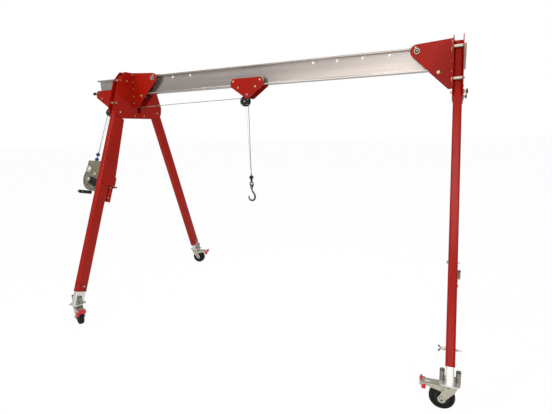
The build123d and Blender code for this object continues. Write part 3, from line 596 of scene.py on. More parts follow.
def stacked(part, count, step):
    """So many copies of a part, each a step on from the last."""
    mesh = bpy.data.meshes.new("part")
    part.to_mesh(mesh)
    part.free()
    bm = bmesh.new()
    for i in range(count):
        bmesh.ops.transform(bm, matrix=step, verts=bm.verts)
        bm.from_mesh(mesh)
    bpy.data.meshes.remove(mesh)
    return bm


def wound(bm, straight, radius):
    """Bend a rope drawn along +Z around a sheave on its -X side, from a length on."""
    for v in bm.verts:
        past = v.co.z - straight
        if past > 0:
            angle, out = past / radius, radius + v.co.x
            v.co.x, v.co.z = out * math.cos(angle) - radius, straight + out * math.sin(angle)
    return bm


class BuildRope(Operator):
    """The wire rope in its three runs"""
    bl_idname = "crane.rope"
    bl_label = "Wire Rope"

    def execute(self, context):
        s = context.scene.crane_rope
        low, line = winch_run()
        arc = ROPE_LINE * (ROPE_LEAVE - math.pi / 2)
        run = wound(rope(line.length + arc, s.lay, s.strands), line.length, ROPE_LINE)
        place = END_TILTED @ aim(low, line) @ turn(180, "Z")
        Piece("rope_to_winch", "root", "wire_rope", "wire_rope").add(run, place).done("rope_winch_run", weigh=False)

        start = END_TILTED @ Vector((END_BLOCK_X, 0, ROPE_LINE - END_BLOCK_DROP))
        corner = TROLLEY @ Vector((TROLLEY_BLOCK_X, 0, -TIP_DROP - BLOCK_DROP))
        stop = corner + Vector((0, 0, ROPE_LINE))
        line = stop - start
        piece = Piece("rope_under_beam", None, "wire_rope", "wire_rope")
        piece = piece.add(rope(line.length, s.lay, s.strands), aim(start, line)).done("rope_top_run", weigh=False)
        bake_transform(piece)

        low = corner + Vector((ROPE_LINE, 0, s.fall_end - corner.z))
        long = corner.z - s.fall_end
        fall = wound(rope(long + ROPE_LINE * math.pi / 2, s.lay, s.strands), long, ROPE_LINE)
        piece = Piece("rope_to_hook", None, "wire_rope", "wire_rope").add(fall, Matrix.Translation(low))
        piece = piece.done("rope_fall", weigh=False)
        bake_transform(piece)
        return {"FINISHED"}


class BuildBeam(Operator):
    """The I-beam with its edges rounded"""
    bl_idname = "crane.beam"
    bl_label = "Beam"

    def execute(self, context):
        dress("i_beam", "root", "mill_aluminium", "mill_aluminium", "beam", context.scene.crane_frame.beam_edge)
        return {"FINISHED"}


def spacer(piece, at):
    """A spacer tube between the head plates, with a bolt through it."""
    piece.add(ring(5.5, 10.0, -HALF_PLATE + SEAT, HALF_PLATE - SEAT), at)
    piece.bolt(at @ move(0, 0, HEAD_END), *SPACER_HEAD, "chromate_bolt")
    piece.bolt(at @ move(0, 0, -HEAD_END) @ turn(180, "X"), *SPACER_HEAD, "chromate_bolt")


class BuildEndFrames(Operator):
    """Head plates, gussets and the bolts that hold them"""
    bl_idname = "crane.end_frames"
    bl_label = "End Frames"

    def execute(self, context):
        s = context.scene.crane_frame
        for side, tag in ((-1, "left"), (1, "right")):
            at = end_frame(side)
            for node in (f"head_outer_{tag}", f"head_inner_{tag}", f"gussets_{tag}"):
                dress(f"plate_{node}", "root", "red_paint", "red_powder_coat", node, s.plate_edge)
            bolts = Piece(f"head_bolts_{tag}", "root", "zinc_steel", "zinc_plate", "chromate_bolt", "black_paint")
            spacers = Piece(f"spacer_tubes_{tag}", "root", "zinc_steel", "zinc_plate", "chromate_bolt")
            for row in (-1, 1):
                for z in FLANGE_BOLTS:
                    bolts.bolt(facing_x(at, FLANGE_END, row * FLANGE_BOLTS_OFF, z), *SMALL_HEAD)
                    bolts.bolt(facing_x(at, HALF_PLATE, row * FLANGE_BOLTS_OFF, z, -1), *SMALL_HEAD)
                corner = (row * CORNER_BOLT[0], CORNER_BOLT[1])
                bolts.bolt(facing_x(at, FLANGE_END, *corner), *CORNER_HEAD, "chromate_bolt")
                bolts.bolt(facing_x(at, -HEAD_END, *corner, -1), *CORNER_HEAD, "chromate_bolt")
                bolts.add(rod(6.0, 0, 0.8, 0.3), facing_x(at, FLANGE_END, row * PLUG[0], PLUG[1]), "black_paint")
                lower = (row * LOWER_BOLT[0], LOWER_BOLT[1])
                bolts.add(rod(6.0, -HALF_PLATE, HALF_PLATE), facing_x(at, 0, *lower))
                for way in (-1, 1):
                    bolts.bolt(facing_x(at, way * HEAD_END, *lower, way), *SMALL_HEAD, "chromate_bolt")
                bolts.bolt(facing_y(at, *LOBE_WIRE[0], row, GUSSET_END), *SMALL_HEAD, "chromate_bolt")
                for z in SPACER_HEIGHTS:
                    spacer(spacers, facing_x(at, 0, row * (leg_y(z) + SPACER_OFF), z))
            bolts.done()
            spacers.done(f"head_spacers_{tag}")

            pin = Piece(f"lobe_pin_{tag}", "root", "zinc_steel", "zinc_plate", "black_paint")
            place = in_plane(*LOBE)
            pin.add(rod(9.5, -GUSSET_END, GUSSET_END), facing_y(at, place[0], place[1]))
            rest = Piece(f"beam_rest_bar_{tag}", "root", "zinc_steel", "zinc_plate", "chromate_bolt", "black_paint")
            low = in_plane(*REST)
            rest.add(rod(15.0, SEAT - PLATES_INSIDE, PLATES_INSIDE - SEAT, 1.5), facing_y(at, low[0], low[1]),
                     "black_paint")
            for row in (-1, 1):
                out = facing_y(at, place[0], place[1], row, GUSSET_END + SEAT)
                pin.add(turned([(13.5, 0), (21.0, 0), (21.0, 3.0), (19.0, 4.7), (15.5, 4.7), (13.5, 3.0),
                                (13.5, 0)]), out)
                pin.add(rod(13.5, 0, 2.4, 0.3), out, "black_paint")
                pin.socket(out, 6.4, 8.0)
                pin.add(bent([(x, row * (GUSSET_END + 2.4), z) for x, z in LOBE_WIRE], 1.3), at)
                rest.bolt(facing_y(at, low[0], low[1], row, GUSSET_END), *REST_HEAD, "chromate_bolt")
            pin.done(f"beam_pin_{tag}")
            rest.done(f"beam_rest_{tag}")
        return {"FINISHED"}


class BuildPins(Operator):
    """The pins that lock the legs in the heads and the tubes in the legs"""
    bl_idname = "crane.pins"
    bl_label = "Leg Pins"

    def execute(self, context):
        s = context.scene.crane_frame
        for side, tag in ((-1, "left"), (1, "right")):
            piece = Piece(f"locking_pins_{tag}", "root", "zinc_steel", "zinc_plate", "knob_plastic", "chromate_bolt")
            for row in (-1, 1):
                at = leg_frame(side, row) @ move(0, 0, along(BEAM_BOTTOM - HEAD_PIN_DROP)) @ turn(90, "Y")
                end = HEAD_END
                piece.add(rod(9.0, -end - 20.0, end + 10.0, 1.5), at, "chromate_bolt")
                piece.add(ring(9.0, 16.0, -end - 8.0, -end - SEAT, 1.2), at)
                piece.add(turned([(0, -end - 28.0), (11.0, -end - 27.5), (16.0, -end - 25.0), (17.0, -end - 21.5),
                                  (15.5, -end - 18.0), (9.5, -end - 17.0), (7.5, -end - 13.0), (7.5, -end - 8.0),
                                  (0, -end - 8.0)], 28), at, "knob_plastic")
                clip = [(0, -10.5, end + 6.0), (0, 0, end + 15.0), (0, 11.0, end + 6.0), (0, 11.0, end + 5.0)]
                piece.add(bent(clip, 1.2), at)
                at = leg_frame(side, row) @ move(0, 0, along(HEIGHT_PINS[side, row])) @ turn(90, "Y")
                face = LEG_WIDE / 2
                piece.add(rod(7.0, -face - 11.5, face + 28.5, 1.2), at)
                piece.add(turned([(7.0, face + SEAT), (9.5, face + SEAT), (9.5, face + 15.0), (8.2, face + 19.3),
                                  (7.0, face + 19.3)]), at)
                for way in (-1, 1):
                    wing = at @ move(0, 0, face + 25.0) @ turn(way * s.wing_turn, "Y")
                    shape = [(0, 0), (4.2, 0), (3.6, 8.0), (4.4, 18.0), (4.4, 21.0), (3.0, 23.4), (0, 24.0)]
                    piece.add(turned(shape, 16), wing, "knob_plastic")
                piece.add(turned([(0, -face - 33.0), (1.6, -face - 32.4), (3.4, -face - 14.0), (4.0, -face - 11.0),
                                  (0, -face - 11.0)], 16), at)
            piece.done(f"leg_pins_{tag}")
        return {"FINISHED"}


class BuildLegs(Operator):
    """The red outer tubes, and the plain inner ones with their foot plates"""
    bl_idname = "crane.legs"
    bl_label = "Legs"

    def execute(self, context):
        s = context.scene.crane_frame
        for key, tag in TAGS.items():
            dress(f"outer_tube_{tag}", "root", "red_paint", "red_powder_coat", f"leg_{tag}", s.tube_edge)
            inner = f"inner_leg_{tag}"
            piece = Piece(f"inner_tube_{tag}", "root", "plain_aluminium", "plain_aluminium", "zinc_plate",
                          "dull_zinc", "black_paint")
            piece.add(dressed(inner, s.tube_edge))
            at = foot(*key)
            for way in (-1, 1):
                post = at @ move(way * BOSS_OFF, 0, FOOT_HEIGHT)
                piece.add(fluted(13.6, 1.0, SLEEVE_TOP, 20, 0.55), post, "dull_zinc")
                piece.add(ring(9.0, 13.7, SLEEVE_TOP, 69.6, 1.5), post, "black_paint")
                piece.add(ring(6.4, 10.5, 62.0, 70.0, 0.8), post, "zinc_plate")
                for row in (-1, 1):
                    stud = at @ move(way * STUD[0], row * STUD[1], FOOT_HEIGHT)
                    piece.add(rod(7.0, 0, 1.4, 0.3), stud, "zinc_plate")
                    piece.add(ball(5.6, 0.7, 16), stud @ move(0, 0, 1.0), "zinc_plate")
                    piece.add(hexagon(6.2, 4.5), stud @ move(0, 0, -7.0) @ turn(180, "X"), "zinc_plate")
            piece.done(inner)
        return {"FINISHED"}


class BuildCasters(Operator):
    """Forks, braked pedals and wheels"""
    bl_idname = "crane.casters"
    bl_label = "Casters"

    def execute(self, context):
        s = context.scene.crane_caster
        for key, tag in TAGS.items():
            at = caster(*key)
            back = at.inverted()
            body = f"caster_{tag}"
            fork = Piece(f"fork_{tag}", body, "zinc_steel", "zinc_plate", "black_paint")
            fork.add(dressed(f"caster_fork_{tag}", s.fork_edge))
            fork.add(ring(28.0, 35.0, 157.5, 163.5, 2.0, 40), at)
            for row in (-1, 1):
                axle = facing_y(at, TRAIL, WHEEL_R, row, FORK_HALF)
                fork.add(ring(8.5, 16.0, 0, 1.4), axle)
                fork.add(hexagon(14.2, 7.4), axle)
                fork.add(rod(6.0, 7.0, 8.2, 0.3), axle, "black_paint")
                fork.add(rod(4.6, 0, 1.6, 0.5), facing_y(at, 4.0, 148.0, row, FORK_HALF), "black_paint")
            fork.done(f"caster_fork_{tag}")

            def pad(place):
                """Red for the pads at the pedal's tip and on its flanges, and zinc for the rest."""
                x, y, _ = back @ place
                red = x > PAD_TIP or (abs(y) > PAD_SIDE and x > PAD_START)
                return "red_plastic" if red else "zinc_plate"

            pedal = Piece(f"brake_pedal_{tag}", body, "zinc_steel", "zinc_plate", "red_plastic")
            pedal.add(dressed(f"caster_brake_{tag}", s.pedal_edge), where=pad)
            for row in (-1, 1):
                pedal.add(rod(5.0, 0, 1.4, 0.5), facing_y(at, 20.0, 136.0, row, PEDAL_HALF))
            if tag == "front_right":
                pedal.add(block(PAD_START, 150.0, 29.0, 35.0, 116.0, 142.0, 2.5), at, "red_plastic")
            pedal.done(f"caster_brake_{tag}")

            half = [(8.7, 27.5), (18.0, 27.5), (21.5, 25.0), (22.0, 16.0), (30.0, 14.8), (45.0, 15.4)]
            wheel_at = facing_y(at, TRAIL, WHEEL_R)
            wheel = Piece(f"wheel_{tag}", f"wheel_{tag}", "black_rubber", "tyre_rubber", "wheel_hub", "zinc_plate")
            wheel.add(turned(both_sides(half), 40), wheel_at, "wheel_hub")
            half = [(44.0, 15.4), (47.5, 17.0), (49.6, 21.2), (51.0, 22.0), (54.0, 22.0), (55.0, 20.6), (57.0, 20.6),
                    (58.0, 21.8), (62.0, 21.4), (66.5, 19.4), (69.8, 15.8), (71.4, 11.0), (72.0, 5.0)]
            wheel.add(turned(both_sides(half), 64), wheel_at)
            for i in range(s.ribs):
                for way in (-1, 1):
                    rib = wheel_at @ turn(360 / s.ribs * i, "Z")
                    wheel.add(block(21.0, 46.0, -1.8, 1.8, way * 14.0, way * 18.0, 0.8), rib, "wheel_hub")
            for way in (-1, 1):
                cap = wheel_at @ move(0, 0, 27.6 if way > 0 else -30.8)
                wheel.add(ring(8.6, 13.0, 0, 3.2, 0.6), cap, "zinc_plate")
            wheel.done(f"caster_wheel_{tag}")
        return {"FINISHED"}


def carriage(at, name, body, plates, bolts, wheels=None):
    """The plates of the trolley or the end bracket, and what is bolted through them."""
    dress(f"{name}_plates_dressed", body, "red_paint", "red_powder_coat", plates, 1.0)
    piece = Piece(f"{name}_fasteners", body, "zinc_steel", "zinc_plate", "chromate_bolt", "black_paint")
    for x in (-TIE[0], TIE[0]):
        piece.add(rod(5.9, -BOLT_REACH, BOLT_REACH), facing_y(at, x, TIE[1]))
        piece.add(ring(5.9, 9.0, SEAT - PLATES_INSIDE, PLATES_INSIDE - SEAT), facing_y(at, x, TIE[1]))
        for row in (-1, 1):
            piece.bolt(facing_y(at, x, TIE[1], row, GUSSET_END), *TIE_HEAD, "chromate_bolt")
    piece.add(rod(8.0, -BOLT_REACH, BOLT_REACH), facing_y(at, 0, -TIP_DROP))
    for row in (-1, 1):
        piece.socket(facing_y(at, 0, -TIP_DROP, row, GUSSET_END), 9.5, 6.0)
        for x in (-AXLE_REACH, AXLE_REACH):
            out = facing_y(at, x, AXLE_UP, row, GUSSET_END)
            piece.bolt(out, *AXLE_HEAD, "chromate_bolt")
            if wheels:
                piece.add(rod(6.0, -25.0, 0.5), out)
    piece.done(bolts)
    if wheels:
        piece = Piece(f"{name}_rollers", body, "nylon", "pale_nylon", "zinc_plate")
        for row in (-1, 1):
            for x in (-AXLE_REACH, AXLE_REACH):
                axle = facing_y(at, x, AXLE_UP, row, ROLLER_IN)
                piece.add(turned([(12.0, 0), (27.5, 0), (29.0, 1.5), (29.0, 14.5), (27.5, 16.0), (21.0, 16.0),
                                  (20.0, 14.5), (12.0, 14.5), (12.0, 0)], 36), axle)
                piece.add(ring(6.4, 12.2, 0.2, 15.6, 0.6), axle, "zinc_plate")
        piece.done(wheels)


def pulley(at, name, body, cx, drop, block_node, sheave_node, highlight_dots):
    """A pulley block: black cheeks with their bolts and raised zinc dots painted as highlights, and a grooved sheave
    between them.
    """
    piece = Piece(f"{name}_block_dressed", body, "black_paint", "black_paint", "zinc_plate")
    piece.add(dressed(block_node, 1.2))
    for row in (-1, 1):
        hub = facing_y(at, cx, -drop, row, BLOCK_HALF)
        piece.add(ring(8.0, 15.0, 0, 1.6), hub)
        piece.add(hexagon(7.5, 6.0), hub, "zinc_plate")
        # Raised zinc dots on the cheeks, their pale colour a painted highlight
        for x, z in highlight_dots:
            piece.add(rod(4.5, 0, 3.4, 0.9, 16), facing_y(at, cx + x, z - drop, row, BLOCK_HALF), "zinc_plate")
    piece.done(block_node)
    piece = Piece(f"{name}_sheave_dressed", body, "nylon", "moulded_nylon", "zinc_plate")
    axle = facing_y(at, cx, -drop)
    half = [(14.0, 8.0), (34.6, 8.0), (36.0, 6.6), (36.0, 5.4), (26.4, 3.4), (24.9, 1.6)]
    piece.add(turned(both_sides(half), 48), axle)
    piece.add(ring(8.4, 14.2, -8.0, 8.0, 0.8), axle, "zinc_plate")
    piece.done(sheave_node)


class BuildTrolley(Operator):
    """The trolley on the beam, with its pulley block"""
    bl_idname = "crane.trolley"
    bl_label = "Trolley"

    def execute(self, context):
        carriage(TROLLEY, "trolley", "trolley", "trolley_plates", "trolley_bolts", "trolley_wheels")
        pulley(TROLLEY @ move(0, 0, -TIP_DROP), "trolley", "trolley", TROLLEY_BLOCK_X, BLOCK_DROP, "trolley_block",
               "trolley_sheave", ((-27.0, 20.0), (22.0, -27.0), (-20.0, -28.0), (33.0, 14.0)))
        return {"FINISHED"}


class BuildEndBracket(Operator):
    """The bracket clamped to the beam's end, its hand knob, link and pulley block"""
    bl_idname = "crane.end_bracket"
    bl_label = "End Bracket"

    def execute(self, context):
        at = END_BRACKET
        carriage(at, "end", "root", "end_plates", "end_bolts")
        dress("end_clamps_dressed", "root", "zinc_steel", "zinc_plate", "end_clamps", 0.8)
        pulley(END_TILTED, "end", "root", END_BLOCK_X, END_BLOCK_DROP, "end_block", "end_sheave",
               ((-27.0, 20.0), (22.0, -27.0), (-20.0, -28.0)))
        link = Piece("end_link_ring", "root", "zinc_steel", "zinc_plate")
        link.add(hoop(23.5, 4.0, 40), at @ move(0, 0, -11.2 - TIP_DROP) @ UPRIGHT).done("end_link")

        pad_x, y, z = -AXLE_REACH - 15.5 - SEAT, -38.0, 40.0
        knob = Piece("hand_knob", "root", "black_paint", "black_paint", "zinc_plate")
        out = facing_x(at, pad_x, y, z, -1)
        knob.add(rod(6.8, 0, 35.0), out, "zinc_plate")
        knob.add(hexagon(11.0, 6.0), out @ move(0, 0, 3.0), "zinc_plate")
        star = bmesh.new()
        bmesh.ops.create_cone(star, cap_ends=True, segments=40, radius1=14.8, radius2=14.8, depth=34.0)
        for v in star.verts:
            v.co.xy *= 0.86 + 0.14 * math.cos(5 * math.atan2(v.co.y, v.co.x))
        rims = [e for e in star.edges if abs(e.verts[0].co.z - e.verts[1].co.z) < 1]
        knob.add(rounded(star, rims, 2.4, 3), out @ move(0, 0, 51.0))
        knob.done("end_knob")
        return {"FINISHED"}


class BuildWinch(Operator):
    """The hand winch: its case, crank, lever and the bracket that carries it"""
    bl_idname = "crane.winch"
    bl_label = "Winch"

    def execute(self, context):
        at = WINCH
        case = Piece("winch_case", "root", "winch_casting", "winch_casting", "zinc_plate", "bright_cast_and_highlight")
        case.add(dressed("winch_housing", 1.5))
        front = at @ move(12.0, CASE_FACE, 20.0) @ UPRIGHT
        case.add(ring(98.0, 108.0, 0, 3.0, 1.5, 64), front)
        for i in range(8):
            bolt_at = front @ turn(22.5 + 45 * i, "Z") @ move(103.0, 0, 2.0)
            case.add(hexagon(5.5, 4.5), bolt_at, "zinc_plate")
        case.add(ring(13.0, 36.0, 0, 5.0, 2.0, 40), at @ move(0, CASE_FACE, 0) @ UPRIGHT)
        for angle in (70.0, 92.0, 112.0, 140.0, 170.0, 205.0, 240.0):
            rib = front @ turn(angle, "Z")
            case.add(block(40.0, 97.0, -2.5, 2.5, -0.5, 3.5, 1.4), rib)
        bump = at @ move(-52.0, CASE_FACE - 2.0, 106.0) @ UPRIGHT
        dome = [(0, 0), (33.5, 0), (31.0, 2.5), (24.0, 8.5), (14.0, 12.0), (0, 13.0)]
        case.add(turned(dome, 36), bump, "bright_cast_and_highlight")
        # A raised triangle beside the hub, pale as a painted highlight
        web = [(20.0, 40.0), (66.0, 50.0), (40.0, 86.0)]
        case.add(flat(web, 4.0, 1.0, 5.0), at @ move(0, CASE_FACE - 1.0, 0) @ UPRIGHT, "bright_cast_and_highlight")
        for x in (-80.0, 34.0):
            case.bolt(at @ aim((x, 137.5, 186.0), (0, -1, 0)), *CASE_HEAD, "zinc_plate")
        case.done("winch_housing")

        crank = Piece("crank", "crank", "black_paint", "black_paint", "zinc_plate")
        swing = at @ turn(ARM_DOWN, "Y")
        arm = [(-26.0, -15.0), (0, -30.0), (60.0, -35.0), (105.0, -37.0), (160.0, -26.0), (200.0, -15.0),
               (211.0, -9.0), (215.0, 0)]
        arm += [(x, -z) for x, z in reversed(arm[:-1])] + [(-30.0, 0)]
        crank.add(flat(arm, 13.0, 2.2), swing @ move(0, ARM_FACE, 0) @ UPRIGHT)
        crank.add(flat([(x * 0.8 + 12.0, z * 0.55) for x, z in arm], 2.0, 0.8), swing @ move(0, 101.5, 0) @ UPRIGHT)
        crank.add(turned([(0, 0), (22.0, 0), (22.0, 7.5), (19.5, 10.5), (14.0, 12.0), (0, 12.0)], 36),
                  at @ move(0, 100.0, 0) @ UPRIGHT, "zinc_plate")
        crank.add(hexagon(11.0, 4.0), at @ move(0, 89.5, 0) @ UPRIGHT, "zinc_plate")
        crank.add(rod(10.0, -52.0, 1.0), at @ move(0, ARM_FACE, 0) @ UPRIGHT, "zinc_plate")
        grip = [(0, 0), (8.0, 0), (8.0, 3.0), (12.0, 4.0), (13.0, 12.0), (11.6, 30.0), (12.4, 55.0), (14.0, 78.0),
                (13.4, 87.0), (9.5, 91.5), (0, 92.0)]
        crank.add(turned(grip, 32), swing @ move(200.0, 100.0, 0) @ UPRIGHT)
        crank.done("winch_crank")

        post = Piece("winch_bracket_dressed", "root", "red_paint", "red_powder_coat", "zinc_plate")
        post.add(dressed("winch_bracket", 1.5))
        up = along(WINCH_HEIGHT)
        for z in (-70.0, -166.0):
            post.add(ring(22.0, 24.3, z - 2.0, z + 2.0, 0.8, 40), WINCH_LEG @ move(0, POST_OFF, up), "zinc_plate")
        for y in (-26.0, 20.0):
            for z in (30.0, 180.0, 330.0):
                post.bolt(facing_x(WINCH_LEG, HEAD_END, y, up + z), *SMALL_HEAD)
        post.done("winch_bracket")

        latch = Piece("latch_and_lever", "root", "black_paint", "black_paint", "zinc_plate")
        stem = WINCH_LEG @ move(0, POST_OFF, up - 72.0) @ turn(-8, "Y") @ turn(90, "Y")
        latch.add(turned([(0, 24.8), (6.0, 24.8), (6.5, 27.0), (6.5, 76.0), (5.2, 80.6), (0, 82.6)], 20), stem)
        bar = at @ move(0, *LEVER) @ turn(90, "Y")
        latch.add(rod(16.8, -137.0, 12.0, 4.0, 28), bar)
        for x in (-122.0, -68.5):
            knob = at @ aim((x, *LEVER), (0, -1, 0))
            latch.add(turned([(0, 10.0), (11.0, 10.0), (11.0, 17.0), (14.5, 18.5), (15.0, 24.0), (12.0, 28.0),
                              (0, 29.0)][::-1], 28), knob)
            latch.add(rod(4.0, 28.6, 30.0, 0.5), knob, "zinc_plate")
        latch.done("winch_latch")

        balls = Piece("rope_balls", "root", "blue_plastic", "blue_plastic")
        low, line = winch_run()
        line.normalize()
        arc = [math.radians(a) for a in range(-78, 79, 12)]
        bore = ROPE_RADIUS + SEAT
        shape = [(bore, BALL * math.sin(arc[0]))] + [(BALL * math.cos(a), BALL * math.sin(a)) for a in arc]
        shape += [(bore, BALL * math.sin(arc[-1])), shape[0]]
        for up in BALL_HEIGHTS:
            place = END_TILTED @ aim(low + line * up, line)
            balls.add(turned(shape, 28), place)
            balls.add(ring(18.6, BALL, -0.8, 0.8, 0.2, 28), place)
        balls.done("winch_balls")
        return {"FINISHED"}


class BuildHook(Operator):
    """The stop ball, the swivel and the hook"""
    bl_idname = "crane.hook"
    bl_label = "Hook"

    def execute(self, context):
        s = context.scene.crane_hook
        at = HOOK
        swivel = Piece("swivel", "hook", "zinc_steel", "forged_steel", "black_paint", "wire_rope")
        stop = [(3.4, 18.6), (5.5, 18.2), (9.0, 16.8), (13.5, 13.5), (17.0, 8.5), (18.9, 2.0), (18.9, -2.0),
                (17.0, -8.5), (13.5, -13.5), (9.0, -16.8), (0, -18.8), (0, -11.7), (3.4, -11.7), (3.4, 18.6)]
        swivel.add(turned(stop, 28), at, "black_paint")
        swivel.add(turned([(0, -18.0), (8.0, -18.0), (11.0, -21.0), (11.0, -30.0), (9.0, -31.5), (9.0, -34.0),
                           (11.0, -35.5), (11.0, -43.0), (7.0, -47.0), (0, -47.0)]), at)
        swivel.add(hoop(17.0, 5.6), at @ move(0, 0, -RING_DROP) @ UPRIGHT)
        swivel.add(ring(3.2, 5.4, 17.5, 40.0, 0.8, 16), at, "wire_rope")
        swivel.done("hook_swivel")

        hook = Piece("hook_forged", "hook", "hook_steel", "forged_steel")
        hook.add(hoop(17.0, 5.8), at @ move(0, 0, -RING_DROP - 22.0 + SEAT) @ turn(90, "Y"))
        line = ((0, 0, -100.0), (0, 0, -110.0), (6.0, 0, -126.0), (24.0, 0, -148.0), (31.0, 0, -174.0),
                (24.0, 0, -199.0), (2.0, 0, -212.0), (-22.0, 0, -204.0), (-33.5, 0, -186.0), (-33.0, 0, -169.0))
        wide = (0.72, 0.74, 0.8, 0.92, 1.0, 1.0, 1.0, 0.9, 0.72, 0.5)
        hook.add(bent(line, s.wire, 4, taper=wide), at)
        hook.add(ball(s.wire * 0.5), at @ move(*line[-1]))
        hook.done("hook")
        return {"FINISHED"}


class BuildStage(Operator):
    """The floor, the lamps and the camera"""
    bl_idname = "crane.stage"
    bl_label = "Stage"

    def execute(self, context):
        s = context.scene.crane_stage
        scene = context.scene
        bm = bmesh.new()
        bmesh.ops.create_grid(bm, x_segments=1, y_segments=1, size=60)
        mesh = bpy.data.meshes.new("floor")
        bm.to_mesh(mesh)
        bm.free()
        floor = bpy.data.objects.new("floor", mesh)
        scene.collection.objects.link(floor)
        # The floor glows white to the camera, and keeps a faint shadow
        tree = surface("studio_floor", "#F4F3F1", "#F7F6F5", rough=(0.7, 0.8), grain=40.0, patch=900.0).node_tree
        rays = add(tree, "ShaderNodeLightPath").outputs
        share = add(tree, "ShaderNodeMath", {"operation": "MULTIPLY"}, {0: rays["Is Camera Ray"], 1: s.floor_white})
        glow = add(tree, "ShaderNodeEmission", None, {"Color": colour("#FFFFFF"), "Strength": 1.0})
        both = add(tree, "ShaderNodeMixShader", None,
                   {0: share.outputs[0], 1: tree.nodes["Principled BSDF"].outputs[0], 2: glow.outputs[0]})
        tree.links.new(both.outputs[0], tree.nodes["Material Output"].inputs["Surface"])
        mesh.materials.append(MATERIALS["studio_floor"])

        # Each lamp's place, target, width, height (0 for a disk), roll in degrees and power
        for name, place, target, wide, high, roll, power in (
                ("key_lamp", (-3.2, -5.2, 5.2), (0.2, 0, 1.1), 3.0, 0, 0, s.key),
                ("side_lamp", (5.5, -5.5, 4.5), (0.4, 0, 1.2), 1.8, 0, 0, s.side),
                ("top_lamp", (0.2, 0.6, 6.0), (0.2, 0, 0), 5.0, 0, 0, s.top),
                ("beam_softbox", (-0.65, -6.0, 2.18), (-0.65, 0, 2.18), 3.4, 1.5, 7.0, s.beam),
                ("leg_softbox", (1.3, -6.0, 5.1), (1.3, 0, 5.1), 1.2, 3.0, 0, s.leg),
                ("strip_lamp", (0.0, -6.0, 5.4), (0.0, 0, 5.4), 0.7, 2.0, 0, s.strip),
                ("foot_softbox", (1.6, -6.0, 1.5), (1.6, 0, 1.5), 1.2, 1.2, 0, s.foot)):
            lamp = bpy.data.lights.new(name, "AREA")
            lamp.shape = "RECTANGLE" if high else "DISK"
            lamp.size = wide
            if high:
                lamp.size_y = high
            lamp.energy = power
            holder = bpy.data.objects.new(name, lamp)
            holder.matrix_world = aim(place, Vector(place) - Vector(target)) @ turn(roll, "Z")
            scene.collection.objects.link(holder)

        world = bpy.data.worlds.new("studio")
        world.use_nodes = True
        tree = world.node_tree
        tree.nodes.clear()
        rays = add(tree, "ShaderNodeLightPath").outputs
        plain = add(tree, "ShaderNodeBackground", None, {"Color": colour("#F2F4F7"), "Strength": s.sky})
        white = add(tree, "ShaderNodeBackground", None, {"Color": colour("#FFFFFF"), "Strength": 1.0})
        both = add(tree, "ShaderNodeMixShader", None,
                   {0: rays["Is Camera Ray"], 1: plain.outputs[0], 2: white.outputs[0]})
        add(tree, "ShaderNodeOutputWorld", None, {"Surface": both.outputs[0]})
        scene.world = world
        scene.view_settings.view_transform = "Standard"

        lens = bpy.data.cameras.new("camera")
        lens.sensor_width = 36.0
        lens.lens = s.lens
        lens.clip_end = 200.0
        camera = bpy.data.objects.new("camera", lens)
        camera.matrix_world = (Matrix.Translation(Vector((s.camera_x, s.camera_y, s.camera_z)) * MM)
                               @ Matrix.Rotation(s.yaw, 4, "Z") @ Matrix.Rotation(math.pi / 2 - s.pitch, 4, "X")
                               @ Matrix.Rotation(s.roll, 4, "Z"))
        scene.collection.objects.link(camera)
        scene.camera = camera
        return {"FINISHED"}


def number(name, description, default):
    """A size, power or other number that a user may change."""
    return FloatProperty(name=name, description=description, default=default)


def tint(name, description, text):
    """A colour that a user may change, given as sRGB hex."""
    return FloatVectorProperty(name=name, description=description, subtype="COLOR", size=4, min=0.0, max=1.0,
                               default=colour(text))


class FinishColours(PropertyGroup):
    paint: tint("Paint", "Powder coat of the frames and plates", "#901307")
    paint_patch: tint("Paint Patches", "Slightly lighter patches of the powder coat", "#981608")
    ball: tint("Balls", "Balls on the rope above the winch", "#1D3468")
    ball_patch: tint("Ball Patches", "Darker patches of the balls", "#162B58")
    pad: tint("Pads", "Pads of the brake pedals", "#C6202A")
    pad_patch: tint("Pad Patches", "Darker patches of the pads", "#B01820")


class RopeSizes(PropertyGroup):
    lay: number("Lay", "Length in which a strand goes once round, in mm", 26.0)
    strands: IntProperty(name="Strands", description="Outer strands of the rope", default=6)
    fall_end: number("Lower End", "Height of the rope's end in the hook's ball, in mm", 1198.3)


class FrameSizes(PropertyGroup):
    beam_edge: number("Beam Edge", "Rounding of the beam's edges, in mm", 1.2)
    plate_edge: number("Plate Edge", "Rounding of the plates' edges, in mm", 1.0)
    tube_edge: number("Tube Edge", "Rounding of the tubes' ends, in mm", 0.6)
    wing_turn: number("Wing Angle", "Spread of a height pin's wings, in degrees", 45.0)


class CasterSizes(PropertyGroup):
    fork_edge: number("Fork Edge", "Rounding of the fork's edges, in mm", 1.2)
    pedal_edge: number("Pedal Edge", "Rounding of the pedal's edges, in mm", 0.9)
    ribs: IntProperty(name="Hub Ribs", description="Ribs in a wheel's hub", default=8)


class HookSizes(PropertyGroup):
    wire: number("Hook Thickness", "Radius of the hook where it is thickest, in mm", 8.8)


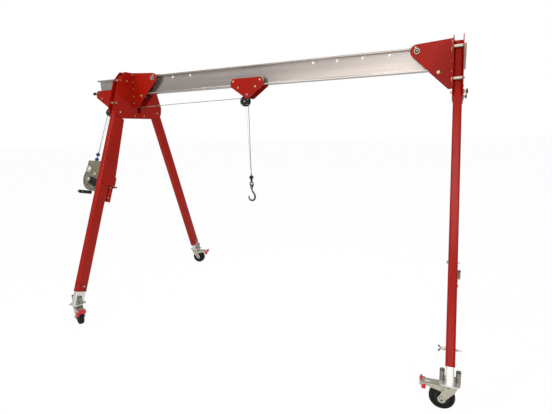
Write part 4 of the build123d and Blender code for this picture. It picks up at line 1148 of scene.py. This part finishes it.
class StageSizes(PropertyGroup):
    key: number("Key Lamp", "Power of the lamp at the front left, in W", 115.0)
    side: number("Side Lamp", "Power of the lamp at the front right, in W", 105.0)
    top: number("Top Lamp", "Power of the lamp overhead, in W", 160.0)
    beam: number("Beam Softbox", "Power of the soft light seen in the beam's web, in W", 34.0)
    leg: number("Leg Softbox", "Power of the soft light seen in the near leg, in W", 75.0)
    strip: number("Strip Lamp", "Power of the lamp seen in the legs' round corners, in W", 38.0)
    foot: number("Foot Softbox", "Power of the soft light seen in the near foot, in W", 16.0)
    sky: number("Sky", "Strength of the light from all round", 0.55)
    floor_white: number("White Floor", "How far the floor glows white to the camera", 0.965)
    lens: number("Lens", "Focal length in mm on a 36 mm sensor", 26.172)
    camera_x: number("Camera X", "In mm", 1683.55)
    camera_y: number("Camera Y", "In mm", -3191.74)
    camera_z: number("Camera Z", "In mm", 1615.58)
    yaw: FloatProperty(name="Yaw", description="About the vertical", subtype="ANGLE", default=0.42776)
    pitch: FloatProperty(name="Pitch", description="Below the horizontal", subtype="ANGLE", default=0.18828)
    roll: FloatProperty(name="Roll", description="About the line of sight", subtype="ANGLE", default=-0.02875)


GROUPS = {"crane_colours": FinishColours, "crane_rope": RopeSizes, "crane_frame": FrameSizes,
          "crane_caster": CasterSizes, "crane_hook": HookSizes, "crane_stage": StageSizes}
STEPS = (BuildBeam, BuildEndFrames, BuildPins, BuildLegs, BuildCasters, BuildTrolley, BuildEndBracket, BuildWinch,
         BuildHook, BuildRope, BuildStage)


class CranePanel(Panel):
    """The crane's groups of pieces"""
    bl_idname = "VIEW3D_PT_gantry_crane"
    bl_label = "Gantry Crane"
    bl_space_type = "VIEW_3D"
    bl_region_type = "UI"
    bl_category = "Gantry Crane"

    def draw(self, context):
        for step in STEPS:
            self.layout.operator(step.bl_idname)
        for name, group in GROUPS.items():
            for key in group.__annotations__:
                self.layout.prop(getattr(context.scene, name), key)


def register():
    for item in (*GROUPS.values(), *STEPS, CranePanel):
        bpy.utils.register_class(item)
    for name, group in GROUPS.items():
        setattr(bpy.types.Scene, name, PointerProperty(type=group))


def unregister():
    for name in GROUPS:
        delattr(bpy.types.Scene, name)
    for item in reversed((*GROUPS.values(), *STEPS, CranePanel)):
        bpy.utils.unregister_class(item)


def main():
    register()
    make_materials()
    for step in STEPS:
        category, name = step.bl_idname.split(".")
        getattr(getattr(bpy.ops, category), name)()
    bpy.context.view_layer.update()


if __name__ == "__main__":
    main()
